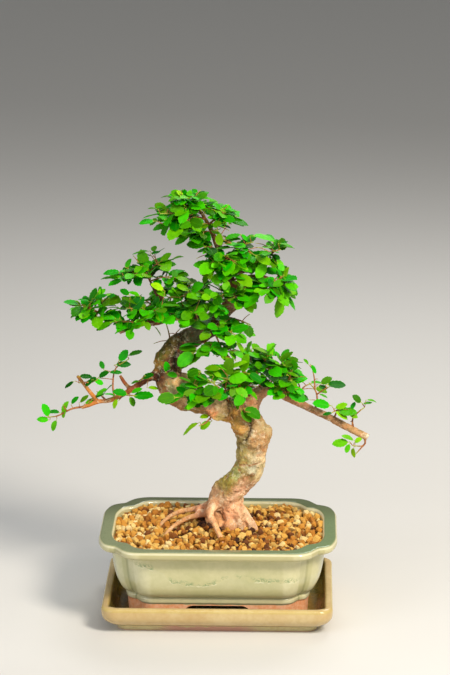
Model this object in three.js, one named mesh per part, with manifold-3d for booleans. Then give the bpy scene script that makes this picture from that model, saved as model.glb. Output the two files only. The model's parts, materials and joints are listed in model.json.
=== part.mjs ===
import * as THREE from 'three';
import { mergeVertices } from 'three/addons/utils/BufferGeometryUtils.js';
import Module from 'manifold-3d';

// A Chinese elm trained as a bonsai, in a glazed pot that stands in its drip saucer.
// Millimetres, +Z up. The front is -Y, and the origin is the middle of the saucer's flat underside.

const CLEARANCE = 0.3; // left between pieces that touch
const SAUCER = { halfLength: 97.5, halfDepth: 71, height: 23, floor: 6, corner: 10 };
const POT = { halfLength: 101.2, halfDepth: 76.5, rimTop: 75, footBottom: 6.3, floorTop: 27, floorUnder: 21.5 };
const ARCH = { halfWidth: 26, top: 19.8, corner: 7 }; // the water gate in the foot, front and back
const DRAIN = { radius: 8, offset: 38 };
const SCREEN = { side: 24, thickness: 1.2, slotLength: 17, slotWidth: 2.6, slotPitch: 6 };
const SOIL = { level: 71.2, mound: 4.6, moundSpread: 34, moundX: 8, moundY: 3, granule: 12.2 };
const LEAF = { length: 16, halfWidth: 4.3, thickness: 0.9, fold: 0.16, droop: 0.12 };
const TWIG = { baseRadius: 1.15, tipRadius: 0.7, forkRadius: 0.85, mainSteps: 3, bow: 0.08 };
const BARK_RIPPLE = 0.07; // lumps on the wood, as a share of its radius

// Turns along a quarter of a plan, from the short side to the long one, in millimetres and degrees.
const LOBED_CORNER = [
  { radius: 52, degrees: 20, steps: 1 },
  { radius: 12, degrees: 48, steps: 2 },
  { run: 2.6 },
  { radius: 4.4, degrees: -36, steps: 1 },
  { run: 7.4 },
  { radius: 14, degrees: 34, steps: 1 },
  { radius: 21, degrees: 24, steps: 1 },
];
const ROUND_CORNER = [{ radius: SAUCER.corner, degrees: 90, steps: 5 }];

// Each row of a profile is the inset from the rim's outline, the height, and the size of the corners.
const SAUCER_PROFILE = [
  [13, 0, 1],
  [12, 4.2, 1],
  [9, 5.6, 1],
  [4.5, 8, 1.1],
  [1.2, 11.6, 1.2],
  [0, 15, 1.2],
  [0, 21.4, 1.2],
  [1.4, SAUCER.height, 1.2],
  [5.4, SAUCER.height, 1],
  [6.8, 21.4, 0.9],
  [8.2, 12, 0.8],
  [11.5, 7.4, 0.7],
  [15, SAUCER.floor, 0.6],
];
const POT_PROFILE = [
  [34, POT.floorUnder, 0.55],
  [33, POT.footBottom, 0.55],
  [25, POT.footBottom, 0.7],
  [24, 22, 0.7],
  [22.8, 25.6, 0.72],
  [23.6, 27, 0.74],
  [18.4, 30.4, 0.85],
  [14.6, 38, 0.97],
  [12.4, 47, 1.03],
  [10.2, 62, 1.1],
  [9.4, 66.6, 1.12],
  [1.6, 67.6, 1.15],
  [0, 70, 1.15],
  [0, 73, 1.15],
  [1.6, POT.rimTop, 1.15],
  [10.8, POT.rimTop, 1.08],
  [12.4, 73.4, 1.05],
  [18, 46, 0.95],
  [34, POT.floorTop, 0.6],
];
const SOIL_PROFILE = [
  [34.6, POT.floorTop + CLEARANCE, 0.6],
  [18.5, 46.2, 0.95],
  [12.8, 74.6, 1.05],
  [12.6, 84, 1.05],
];

// The wood, as centre points with the radius of the limb there: x, y, z, radius.
const TRUNK = [
  [5, 8, 66, 16.6], [4.6, 7, 78, 17.2], [4.8, 5, 90, 17.2], [7, 3, 99, 15.2], [14, 1, 110, 12.8],
  [22, 0, 120, 12.2], [27, -1, 132, 12], [28.6, -3, 146, 12.2], [28, -4, 157, 13.8], [23.5, -5, 168, 13.6],
  [15, -7, 176, 13], [4, -9, 181, 11], [-9, -9, 185, 9.8], [-21, -8, 188, 10.4], [-32, -6, 192, 11.5],
  [-40, -3, 200, 11.6], [-43, 0, 210, 11], [-42, 2, 220, 10.8], [-37, 3, 229, 10], [-29, 3, 236, 9.2],
  [-20, 4, 240, 8.2], [-10, 5, 245, 7.4], [-1, 6, 253, 6.6], [7, 6, 264, 5.8], [11, 5, 275, 5.2],
  [10, 4, 287, 3.7], [8, 3, 298, 3], [3, 2, 309, 2.6], [-2, 1, 321, 2.2], [-6, 0, 332, 1.9],
  [-11, 0, 342, 1.6], [-17, 0, 351, 1.4], [-22, 0, 357, 1.2],
];
const BRANCHES = [
  // The low branch to the right, which ends in a clean cut.
  { sides: 7, step: 11, route: [
    [23, -3, 169, 8], [27, 0, 181, 7], [32, 3, 190, 6], [40, 5, 194, 5], [48, 5, 193, 4.2], [56, 4, 189, 3.6],
    [66, 2, 184, 3.3], [79, 0, 178, 3.2], [95, -2, 171, 3.1], [114, -4, 161, 3], [126, -5, 155, 3]] },
  // The low branch to the left.
  { sides: 7, step: 11, route: [
    [-43, 0, 207, 6], [-57, -1, 206, 3.6], [-64, -2, 202, 3], [-71, -3, 197, 2.6], [-81, -4, 191, 2.2],
    [-93, -5, 186, 2], [-102, -6, 185, 1.8], [-116, -7, 180, 1.6]] },
  // The middle branch to the left, which ends in a broken stub, and the limb that rises from it.
  { sides: 7, step: 10, route: [
    [-11, 5, 250, 5], [-23, 2, 257, 4], [-38, -3, 259, 3.6], [-52, -8, 256, 3.2], [-66, -12, 255, 3],
    [-83, -16, 250, 3]] },
  { sides: 6, step: 11, route: [[-38, -3, 259, 2.6], [-46, -2, 269, 2.2], [-52, 0, 279, 2], [-57, 1, 287, 1.6]] },
  { sides: 5, step: 12, route: [[-74, -14, 252, 2.2], [-88, -14, 259, 1.6], [-99, -14, 264, 1.4]] },
  // Two limbs to the right near the top.
  { sides: 6, step: 10, route: [[10, 3, 294, 2.8], [21, 0, 301, 2.2], [31, -3, 307, 1.8], [42, -6, 315, 1.3]] },
  { sides: 6, step: 10, route: [[10, 4, 283, 3.2], [22, -4, 291, 2.6], [34, -8, 295, 2.1], [44, -11, 293, 1.6]] },
  // Two dead snags on the low left branch, and the sawn knuckle where a front limb was taken off.
  { sides: 5, step: 9, route: [[-74, -3, 195, 2], [-79, -4, 201, 1.6], [-83, -5, 208, 1.3]] },
  { sides: 5, step: 9, route: [[-102, -6, 185, 1.8], [-110, -7, 196, 1.6], [-119, -7, 208, 1.5]] },
  { sides: 8, step: 8, route: [[3, -8, 181, 9], [1, -17, 183, 9.6], [0, -25, 184, 9]] },
];
// Surface roots, from the flare of the trunk out and down into the soil.
const ROOTS = [
  [[-3, 7, 94, 5.6], [-13, 8, 91, 3.6], [-23, 9, 88.5, 2.8], [-34, 12, 84, 2.5], [-42, 12, 79, 2.4],
    [-49, 10, 72.5, 2.2], [-52, 9, 67, 2]],
  [[-4, 1, 90, 5.6], [-13, 1, 87.5, 3.6], [-20, 0, 86, 2.8], [-27, -2, 84, 2.5], [-37, -7, 77.5, 2.3],
    [-44, -12, 71, 2.2], [-46, -14, 67, 2]],
  [[-2, -3, 96, 7], [-7, -9, 91.5, 4.8], [-7, -15, 88, 3.8], [-4.4, -20, 85, 3.4], [-1, -27, 80, 3.2],
    [3, -33, 73, 2.9], [5, -36, 66, 2.6]],
  [[13, 4, 100, 6], [21, 6, 91, 4.4], [27, 8, 82, 3.8], [32, 9, 74, 3.4], [35, 10, 67, 3]],
  [[12, 0, 94, 8], [18, -6, 87, 6.2], [21.5, -9, 80, 5.6], [23, -10, 70, 5]],
  [[14, 2, 104, 5], [21, -3, 97, 3.6], [25, -6, 88, 3.2], [27.5, -8, 79, 3], [29, -8, 69, 2.8]],
  [[20, 3, 100, 3.4], [26.5, -1, 92, 2.4], [31.5, -4, 83, 2.2], [34.5, -6, 74, 2.1], [36, -6, 67, 2]],
  [[10, 12, 92, 7], [15, 20, 84, 5], [20, 28, 76, 4], [23, 34, 68, 3.2]],
  [[0, 12, 92, 7], [-8, 21, 84, 4.6], [-15, 29, 76, 3.8], [-19, 34, 68, 3]],
];
// Burls, old cut scars and the collars of branches: x, y, z, radius.
const KNOBS = [
  [39, -6, 159, 6], [20, -14, 166, 6], [33, 4, 150, 7], [-31, 2, 199, 9], [-50, -1, 208, 6.5],
  [-48, 3, 222, 6], [12, 6, 268, 5.2], [17, 10, 96, 9], [10, -11, 77, 5.6], [-17, 4, 88.5, 4.4],
];

// Leafy shoots: the wood point that each starts from and the points that it passes, its leaves, and its
// forks, each as the share of the shoot where it leaves, its tip and its leaves.
const SHOOTS = [
  ['apex_top', [[-20, 0, 354], [-26, -4, 361], [-33, -7, 362]], 7,
    [[0.3, -16, -6, 362, 5], [0.25, -27, -16, 354, 4], [0.15, -14, -14, 352, 4]]],
  ['apex_left', [[-11, 0, 342], [-27, -9, 348], [-48, -15, 350]], 8,
    [[0.45, -46, -14, 341, 6], [0.25, -30, -22, 342, 4]]],
  ['apex_low_left', [[-5, 0, 330], [-18, -9, 334], [-27, -14, 330]], 7, [[0.3, -12, -20, 334, 4]]],
  ['apex_right', [[-9, 0, 337], [0, -6, 346], [6, -10, 350]], 4,
    [[0.5, 11, -14, 341, 5], [0.3, 0, -16, 334, 4]]],
  ['upper_left', [[0, 1, 315], [-7, -7, 320], [-12, -12, 321]], 5, [[0.4, -10, -15, 311, 4]]],
  ['upper_front', [[5, 2, 307], [4, -10, 312], [8, -20, 317]], 6,
    [[0.5, -3, -21, 309, 4], [0.6, 16, -22, 309, 5]]],
  ['upper_right', [[7, 2, 302], [18, -4, 319], [29, -9, 325]], 6,
    [[0.4, 10, -13, 325, 4], [0.5, 30, -14, 315, 5]]],
  ['right_up', [[41, -6, 314], [46, -9, 317], [52, -10, 319]], 7,
    [[0.5, 40, -15, 309, 5], [0.5, 37, 8, 317, 5]]],
  ['right_mid', [[43, -11, 293], [48, -14, 293], [53, -15, 291]], 6,
    [[0.5, 50, -18, 280, 4], [0.55, 55, -14, 298, 4], [0.5, 35, -22, 284, 6], [0.7, 57, -16, 283, 3]]],
  ['centre_up', [[9, 3, 296], [1, -8, 303], [-3, -14, 304]], 5, [[0.4, 14, -18, 299, 5]]],
  ['up_left', [[-55, 1, 284], [-59, 2, 291], [-61, 2, 297]], 4,
    [[0.7, -47, 4, 306, 7], [0.6, -83, -8, 293, 8], [0.3, -36, -8, 294, 6], [0.8, -68, -2, 306, 4]]],
  ['mid_left_tip', [[-96, -14, 263], [-106, -14, 268], [-114, -14, 271]], 7,
    [[0.2, -95, -10, 276, 5], [0.6, -105, -20, 276, 3], [0.3, -101, -22, 264, 3]]],
  ['mid_left_front', [[-71, -13, 252], [-78, -25, 261], [-87, -31, 261]], 6, [[0.4, -68, -33, 261, 4]]],
  ['mid_left_big', [[-56, -9, 257], [-59, -20, 267], [-66, -24, 274]], 6,
    [[0.3, -47, -22, 272, 4], [0.5, -76, -26, 272, 4]]],
  ['mid_left_low', [[-40, -3, 258], [-44, -18, 261], [-51, -27, 264]], 6, [[0.4, -33, -28, 263, 5]]],
  ['mid_left_back', [[-50, -7, 257], [-59, 20, 265], [-74, 32, 266]], 7, []],
  ['mid_centre_left', [[-33, -1, 258], [-29, -12, 269], [-32, -20, 280]], 5, [[0.3, -19, -24, 269, 5]]],
  ['centre_left_up', [[-23, 2, 257], [-18, -5, 271], [-10, -10, 287]], 7, [[0.4, -28, -12, 286, 5]]],
  ['centre_front', [[7, 5, 265], [-3, -12, 274], [-12, -22, 280]], 6,
    [[0.4, 4, -24, 284, 4], [0.35, -8, -27, 268, 4]]],
  ['centre_right', [[11, 5, 275], [17, -10, 279], [23, -20, 276]], 6, [[0.5, 22, -14, 287, 4]]],
  ['centre_low', [[-3, 6, 252], [4, -14, 252], [14, -26, 250]], 8, [[0.3, -7, -24, 252, 5]]],
  ['centre_low_right', [[3, 6, 257], [16, -4, 257], [27, -10, 254]], 8, []],
  ['centre_low_left', [[-12, 5, 245], [-11, -10, 238], [-20, -18, 232]], 6, [[0.5, -4, -20, 238, 4]]],
  ['centre_under', [[-6, 6, 249], [1, -12, 238], [7, -22, 230]], 7, []],
  ['pad_right_top', [[35, 4, 193], [33, -4, 210], [27, -12, 224]], 7, [[0.5, 41, -10, 227, 5]]],
  ['pad_right_mid', [[41, 5, 194], [48, -2, 210], [54, -8, 222]], 7, [[0.5, 38, -18, 219, 5]]],
  ['pad_right_outer', [[50, 5, 192], [57, -4, 202], [62, -8, 207]], 6,
    [[0.4, 57, -16, 194, 5], [0.6, 62, -10, 215, 4]]],
  ['low_centre', [[9, -9, 179], [6, -24, 198], [-7, -30, 211]], 8, [[0.5, 8, -30, 215, 4]]],
  ['low_centre_up', [[-4, -9, 184], [-12, -24, 200], [-20, -29, 208]], 6, [[0.5, -6, -33, 201, 4]]],
  ['low_centre_left', [[-11, -9, 185], [-21, -24, 194], [-35, -29, 196]], 7, [[0.4, -14, -30, 188, 4]]],
  ['low_centre_right', [[22, -4, 179], [18, -22, 203], [20, -28, 218]], 7,
    [[0.5, 33, -28, 206, 5], [0.35, 28, -26, 194, 4]]],
  ['low_front', [[23, -6, 175], [22, -22, 182], [27, -27, 183]], 4, []],
  ['stub_shoot', [[-3, -16, 180], [-9, -25, 174], [-16, -28, 171]], 4, []],
  ['elbow_shoot', [[-42, -2, 209], [-44, -18, 215]], 3, []],
  ['left_inner', [[-55, -1, 206], [-59, -8, 206], [-62, -11, 210]], 3, []],
  ['left_low', [[-81, -4, 191], [-77, -12, 193], [-68, -15, 193]], 5, [[0.3, -84, -13, 188, 2]]],
  ['left_up_inner', [[-88, -4.5, 188], [-88, -2, 196], [-92, 1, 205], [-84, 3, 215], [-76, 4, 220]], 9, []],
  ['left_up_outer', [[-112, -6, 199], [-107, -9, 203], [-102, -9, 205]], 5, [[0.4, -117, -15, 204, 2]]],
  ['left_back', [[-95, -5, 186], [-104, 12, 189]], 4, []],
  ['left_tip', [[-113, -7, 181], [-124, -7, 179], [-136, -8, 173], [-146, -9, 172]], 8,
    [[0.45, -131, -12, 184, 2]]],
  ['right_twig_inner', [[81, 0, 177], [83, 1, 191], [76, 2, 201]], 4,
    [[0.5, 94, -2, 199, 5], [0.7, 79, 6, 211, 4], [0.15, 92, -6, 182, 2]]],
  ['right_twig_mid', [[97, -2, 170], [101, -3, 179], [106, -6, 180]], 6, [[0.5, 95, -10, 178, 3]]],
  ['right_twig_outer', [[114, -4, 161], [113, -4, 171], [118, -6, 178], [123, -6, 182]], 6, []],
  ['right_hang', [[123, -5, 156], [123, -11, 150], [113, -15, 151]], 5, [[0.5, 116, -16, 144, 2]]],
  ['back_centre', [[5, 6, 262], [-4, 28, 264], [-14, 42, 266]], 7, [[0.4, 9, 38, 272, 4]]],
  ['back_low', [[21, -3, 177], [12, 20, 188], [-1, 36, 193]], 7, [[0.4, 23, 34, 197, 4]]],
  ['back_right', [[37, 5, 194], [46, 26, 200], [55, 38, 203]], 7, []],
  ['back_top', [[0, 2, 316], [3, 18, 322], [-4, 26, 328]], 6, []],
  ['back_apex', [[-11, 0, 342], [-15, 12, 346], [-24, 22, 347]], 6, []],
  ['back_up', [[10, 4, 285], [19, 20, 293], [24, 33, 297]], 7, [[0.4, 34, 22, 300, 4]]],
  ['back_left', [[-38, -2, 259], [-44, 18, 266], [-52, 34, 269]], 7, [[0.4, -36, 32, 277, 5]]],
  ['back_elbow', [[-44, 3, 218], [-42, 22, 230], [-46, 34, 244]], 7, [[0.4, -34, 38, 238, 4]]],
  ['back_outer', [[66, 3, 184], [70, 18, 191], [78, 28, 193]], 6, [[0.4, 62, 30, 203, 4]]],
];
const wasm = await Module();
wasm.setup();

function toSolid(geometry) {
  const bare = new THREE.BufferGeometry();
  bare.setAttribute('position', geometry.getAttribute('position'));
  bare.setIndex(geometry.getIndex());
  const merged = mergeVertices(bare, 1e-4);
  return new wasm.Manifold(new wasm.Mesh({
    numProp: 3,
    vertProperties: merged.getAttribute('position').array,
    triVerts: new Uint32Array(merged.getIndex().array),
  }));
}

// The largest body of a solid, because cutting can leave a loose scrap beside it.
function mainBody(solid) {
  return solid.decompose().sort((a, b) => b.volume() - a.volume())[0];
}

function addPiece(group, name, solid, material) {
  const { vertProperties, triVerts } = mainBody(solid.simplify(0.09)).getMesh();
  const geometry = new THREE.BufferGeometry();
  geometry.setAttribute('position', new THREE.BufferAttribute(new Float32Array(vertProperties), 3));
  geometry.setIndex(new THREE.BufferAttribute(new Uint32Array(triVerts), 1));
  geometry.computeVertexNormals();
  const mesh = new THREE.Mesh(geometry, material);
  mesh.name = name;
  group.add(mesh);
}

// A closed plan outline, anticlockwise, made of four mirrored quarters.
function planRing(halfLength, halfDepth, corner, size, height) {
  const walk = [new THREE.Vector2(0, 0)];
  let heading = 0;
  for (const { radius, degrees, steps, run } of corner) {
    for (let i = 0; i < (steps ?? 1); i++) {
      const last = walk[walk.length - 1];
      const turn = THREE.MathUtils.degToRad((degrees ?? 0) / (steps ?? 1));
      const chord = run ?? 2 * radius * Math.sin(Math.abs(turn) / 2);
      const facing = heading + turn / 2;
      const ahead = new THREE.Vector2(-Math.sin(facing), Math.cos(facing));
      walk.push(last.clone().addScaledVector(ahead, chord * size));
      heading += turn;
    }
  }
  const end = walk[walk.length - 1];
  const quarter = walk.map((p) => new THREE.Vector2(halfLength + p.x, halfDepth - end.y + p.y));
  const mirrored = [...quarter].reverse();
  return [
    ...quarter,
    ...mirrored.map((p) => new THREE.Vector2(-p.x, p.y)),
    ...quarter.map((p) => new THREE.Vector2(-p.x, -p.y)),
    ...mirrored.map((p) => new THREE.Vector2(p.x, -p.y)),
  ].map((p) => new THREE.Vector3(p.x, p.y, height));
}

// The closed surface through a row of rings, with a flat end at the first and the last.
function loft(rings) {
  const count = rings[0].length;
  const points = rings.flat();
  const index = [];
  for (let start = 0; start < points.length - count; start += count) {
    for (let i = 0; i < count; i++) {
      const next = (i + 1) % count;
      index.push(start + i, start + next, start + count + next);
      index.push(start + i, start + count + next, start + count + i);
    }
  }
  const lastRing = points.length - count;
  const firstCentre = points.push(new THREE.Vector3(0, 0, points[0].z)) - 1;
  const lastCentre = points.push(new THREE.Vector3(0, 0, points[lastRing].z)) - 1;
  for (let i = 0; i < count; i++) {
    const next = (i + 1) % count;
    index.push(firstCentre, next, i, lastCentre, lastRing + i, lastRing + next);
  }
  return new THREE.BufferGeometry().setFromPoints(points).setIndex(index);
}

function profileSolid({ halfLength, halfDepth }, profile, corner) {
  return toSolid(loft(profile.map(([inset, height, size]) => (
    planRing(halfLength - inset, halfDepth - inset, corner, size, height)))));
}

function boxSolid(length, depth, height, x, y, z) {
  return toSolid(new THREE.BoxGeometry(length, depth, height).translate(x, y, z));
}

// A limb with a lumpy round section along its route. grow makes it fatter and longer, for cutting.
function limb(route, { sides, step, rows = 0, grow = 0, ripple = 0 }) {
  const line = new THREE.CatmullRomCurve3(route.map(([x, y, z]) => new THREE.Vector3(x, y, z)));
  rows ||= Math.round(line.getLength() / step);
  const rings = [];
  let side = new THREE.Vector3(0, 1, 0.01);
  for (let row = 0; row <= rows; row++) {
    const t = row / rows;
    const along = line.getTangent(t);
    side = side.clone().addScaledVector(along, -side.dot(along)).normalize();
    const place = t * (route.length - 1);
    const before = Math.min(Math.floor(place), route.length - 2);
    const radius = THREE.MathUtils.lerp(route[before][3], route[before + 1][3], place - before);
    const end = row === 0 ? -grow : row === rows ? grow : 0;
    rings.push({
      middle: line.getPoint(t).addScaledVector(along, end),
      side,
      across: new THREE.Vector3().crossVectors(side, along),
      radius,
      distance: line.getLength() * t,
    });
  }
  const tube = new THREE.CylinderGeometry(1, 1, 1, sides, rows);
  const spots = tube.getAttribute('position');
  for (let i = 0; i < spots.count; i++) {
    const ring = rings[Math.round((spots.getY(i) + 0.5) * rows)];
    const angle = Math.atan2(spots.getX(i), spots.getZ(i));
    const lumps = 0.5 * Math.sin(2 * angle + ring.distance * 0.11)
      + 0.4 * Math.sin(3 * angle - ring.distance * 0.17)
      + 0.35 * Math.sin(angle + ring.distance * 0.3);
    const reach = ring.radius * (1 + ripple * lumps) + grow;
    const spot = ring.middle.clone()
      .addScaledVector(ring.side, spots.getX(i) * reach)
      .addScaledVector(ring.across, spots.getZ(i) * reach);
    spots.setXYZ(i, spot.x, spot.y, spot.z);
  }
  return toSolid(tube);
}

function knob([x, y, z, radius], grow) {
  const ball = new THREE.SphereGeometry(radius + grow, 7, 4);
  return toSolid(ball.rotateX(0.6).rotateY(x).translate(x, y, z));
}

function trunkSolid(grow) {
  const ripple = BARK_RIPPLE;
  return wasm.Manifold.union([
    limb(TRUNK, { sides: 9, step: 11, grow, ripple }),
    ...BRANCHES.map(({ route, sides, step }) => limb(route, { sides, step, grow, ripple })),
    ...ROOTS.map((route) => limb(route, { sides: 5, step: 12, grow, ripple })),
    ...KNOBS.map((place) => knob(place, grow)),
  ]);
}

// A whole number turned to a share from 0 to 1, so that a granule keeps its height wherever it is read.
function scatter(i, j) {
  const mixed = Math.imul(i + 71, 73856093) ^ Math.imul(j + 37, 19349663);
  return ((Math.imul(mixed, 2654435761) >>> 8) % 1000) / 1000;
}

// Granules as a triangular net whose every third point is the top of a grain.
function granuleBlock() {
  const pitch = SOIL.granule / Math.sqrt(3);
  const rise = pitch * Math.sqrt(3) / 2;
  const columns = 62;
  const rows = 32;
  const block = new THREE.BoxGeometry(columns, rows, 1, columns, rows, 1);
  const spots = block.getAttribute('position');
  for (let k = 0; k < spots.count; k++) {
    const i = Math.round(spots.getX(k));
    const j = Math.round(spots.getY(k));
    const grain = (((i + j) % 3) + 3) % 3 === 0;
    const slip = grain ? 0.9 : 0.5;
    const x = (i - j / 2) * pitch + slip * (scatter(i, j) - 0.5) * 2;
    const y = j * rise + slip * (scatter(j, i + 9) - 0.5) * 2;
    const away = Math.hypot((x - SOIL.moundX) / SOIL.moundSpread, (y - SOIL.moundY) / SOIL.moundSpread);
    const level = SOIL.level + SOIL.mound * Math.exp(-away * away);
    const bump = grain ? 1.1 + 1.5 * scatter(i + 5, j) : -0.6 - 0.9 * scatter(i, j + 3);
    spots.setXYZ(k, x, y, spots.getZ(k) > 0 ? level + bump : 20);
  }
  return toSolid(block);
}

// A seeded row of shares from 0 to 1.
function drawer(seed) {
  let state = seed;
  return () => {
    state = (state * 48271) % 2147483647;
    return state / 2147483647;
  };
}

// Half of a blade's edge, as shares of its length and half width, from the end of the stalk towards the tip.
const LEAF_EDGE = [[0.17, 0.14], [0.42, 0.96], [0.74, 0.8]];
const RIB_MIDDLE = 0.56;

// A blade along +X with its upper face to +Z: a thin lens on a midrib, its halves folded up a little.
function bladeGeometry(length, halfWidth, thickness) {
  const edge = [
    [0, 0],
    ...LEAF_EDGE,
    [1, 0],
    ...[...LEAF_EDGE].reverse().map(([s, w]) => [s, -w]),
  ];
  const sag = (s) => -LEAF.droop * length * s * s;
  const points = edge.map(([s, w]) => new THREE.Vector3(
    s * length, w * halfWidth, sag(s) + LEAF.fold * Math.abs(w) * halfWidth));
  const rib = (s, rise) => points.push(new THREE.Vector3(s * length, 0, sag(s) + rise * thickness)) - 1;
  const stalkTop = rib(LEAF_EDGE[0][0], 0.75);
  const middleTop = rib(RIB_MIDDLE, 0.5);
  const middleUnder = rib(RIB_MIDDLE, -0.5);
  const last = edge.length - 1;
  const index = [1, stalkTop, middleTop, last, middleTop, stalkTop, 0, 1, last, 1, middleUnder, last];
  edge.forEach((_, i) => {
    const next = (i + 1) % edge.length;
    const atStalk = i === 0 || next === 0;
    index.push(i, atStalk ? stalkTop : middleTop, next);
    if (!atStalk) index.push(next, middleUnder, i);
  });
  return new THREE.BufferGeometry().setFromPoints(points).setIndex(index);
}

// The way the upper face of a leaf turns here, which is out of the crown and up.
function sky({ x, y }) {
  return new THREE.Vector3((x + 5) / 220, y / 80 - 0.3, 0.8).normalize();
}

// The leaves of a twig, from its tip down: one that points on past the tip, then one to either side in turn.
function leafPlaces(joints, leaves, draw) {
  const places = [];
  for (let k = 0; k < leaves; k++) {
    const share = 0.95 - 0.74 * k / leaves;
    const { point, along } = onTwig(joints, share);
    const up = sky(point);
    const sideways = new THREE.Vector3().crossVectors(along, up).normalize();
    const turn = k === 0 ? 0 : (k % 2 ? 1 : -1) * (0.85 + 0.5 * draw());
    const lift = 0.5 * draw() - 0.12;
    const roll = (draw() - 0.5) * 1.3;
    const size = 0.72 + 0.5 * draw();
    const reach = along.clone().multiplyScalar(Math.cos(turn)).addScaledVector(sideways, Math.sin(turn))
      .addScaledVector(up, lift).normalize();
    places.push({ root: point, up, reach, roll, size });
  }
  return places;
}

// The matrix that sets a blade at its place; bend and twist turn it clear of what it would cross.
function leafMatrix({ root, up, reach, roll }, bend, twist) {
  const across = new THREE.Vector3().crossVectors(up, reach).normalize();
  const face = new THREE.Vector3().crossVectors(reach, across);
  const basis = new THREE.Matrix4().makeBasis(reach, across, face);
  const turned = new THREE.Matrix4().makeRotationFromEuler(new THREE.Euler(roll + twist, bend, bend / 2, 'YZX'));
  return basis.multiply(turned).setPosition(root);
}

// From the tip of a twig down, each third place carries a leaf here, or each fourth on a fork.
const LEAF_STEP = 3;
const FORK_LEAF_STEP = 4;
const LEAVES_ON_TWIG = 2;

const BENDS = [[0, 0], [0.35, 0], [-0.35, 0], [0.3, 0.5], [-0.3, -0.5], [0.7, 0], [-0.7, 0.3], [1, -0.4]];

function boxesMeet(a, b) {
  return [0, 1, 2].every((k) => a.min[k] <= b.max[k] && b.min[k] <= a.max[k]);
}

function crosses(solid, others) {
  const box = solid.boundingBox();
  return others.some((other) => boxesMeet(box, other.box) && solid.intersect(other.solid).volume() > 1e-4);
}

function withBox(solid) {
  return { solid, box: solid.boundingBox() };
}

// A twig is straight between its joints, so that leaves and forks start on its middle line.
function onTwig(joints, share) {
  const place = share * (joints.length - 1);
  const before = Math.min(Math.floor(place), joints.length - 2);
  return {
    point: joints[before].clone().lerp(joints[before + 1], place - before),
    along: joints[before + 1].clone().sub(joints[before]).normalize(),
  };
}

// The joints of each twig of a shoot, the main one first.
function shootJoints([, route, , forks]) {
  const curve = new THREE.CatmullRomCurve3(route.map(([x, y, z]) => new THREE.Vector3(x, y, z)));
  const main = curve.getSpacedPoints(TWIG.mainSteps);
  const side = forks.map(([share, x, y, z]) => {
    const start = onTwig(main, share).point;
    const tip = new THREE.Vector3(x, y, z);
    const bow = start.clone().lerp(tip, 0.5).addScaledVector(sky(tip), TWIG.bow * start.distanceTo(tip));
    return [start, bow, tip];
  });
  return [main, ...side];
}

function twigSolid(joints, isMain, grow) {
  const thick = isMain ? TWIG.baseRadius : TWIG.forkRadius;
  const route = joints.map(({ x, y, z }, k) => (
    [x, y, z, THREE.MathUtils.lerp(thick, TWIG.tipRadius, k / (joints.length - 1))]));
  return limb(route, { sides: 3, rows: joints.length - 1, grow });
}

function shootWood(twigs, grow) {
  return wasm.Manifold.union(twigs.map((joints, k) => twigSolid(joints, k === 0, grow)));
}

function buildSprays(group, wood, materials) {
  const woodToClear = withBox(wood);
  const shoots = SHOOTS.map(shootJoints);
  const twigsToClear = shoots.map((twigs) => withBox(shootWood(twigs, CLEARANCE)));
  const placed = [];
  SHOOTS.forEach(([name, , leaves, forks], n) => {
    const draw = drawer(127 + 37 * n);
    const counts = [leaves, ...forks.map((fork) => fork[4])];
    const others = [woodToClear, ...twigsToClear.filter((_, m) => m !== n), ...placed];
    const blades = [];
    shoots[n].forEach((joints, twig) => {
      const besides = shoots[n].filter((other) => other !== joints)
        .map((other) => withBox(twigSolid(other, false, 0)));
      const step = twig === 0 ? LEAF_STEP : FORK_LEAF_STEP;
      leafPlaces(joints, counts[twig], draw).forEach((place, k) => {
        if (k % step !== 0 || k / step >= LEAVES_ON_TWIG) return;
        const length = LEAF.length * place.size;
        const halfWidth = LEAF.halfWidth * place.size;
        const fat = bladeGeometry(
          length + 2 * CLEARANCE, halfWidth + 2 * CLEARANCE, LEAF.thickness + 3 * CLEARANCE);
        const slim = bladeGeometry(length, halfWidth, LEAF.thickness);
        for (const [bend, twist] of BENDS) {
          const matrix = leafMatrix(place, bend, twist);
          if (crosses(toSolid(fat.clone().applyMatrix4(matrix)), others)) continue;
          const blade = toSolid(slim.clone().applyMatrix4(matrix));
          if (crosses(blade, [...blades, ...besides])) continue;
          blades.push(withBox(blade));
          return;
        }
      });
    });
    const twigs = shootWood(shoots[n], 0);
    const whole = wasm.Manifold.union([twigs, ...blades.map(({ solid }) => solid)]).subtract(wood);
    placed.push(...blades);
    addPiece(group, 'spray_' + name, whole, materials.leaf);
  });
}

function finish(color, roughness) {
  return new THREE.MeshStandardMaterial({ color, roughness, metalness: 0 });
}

const materials = {
  saucerGlaze: finish('#c2ad78', 0.3),
  potGlaze: finish('#b3b286', 0.25),
  screen: finish('#3a3f3c', 0.6),
  granules: finish('#c0904a', 0.95),
  bark: finish('#b08f6c', 0.85),
  leaf: finish('#3fae1c', 0.5),
};

const bonsai = new THREE.Group();
addPiece(bonsai, 'saucer', profileSolid(SAUCER, SAUCER_PROFILE, ROUND_CORNER), materials.saucerGlaze);

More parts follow.
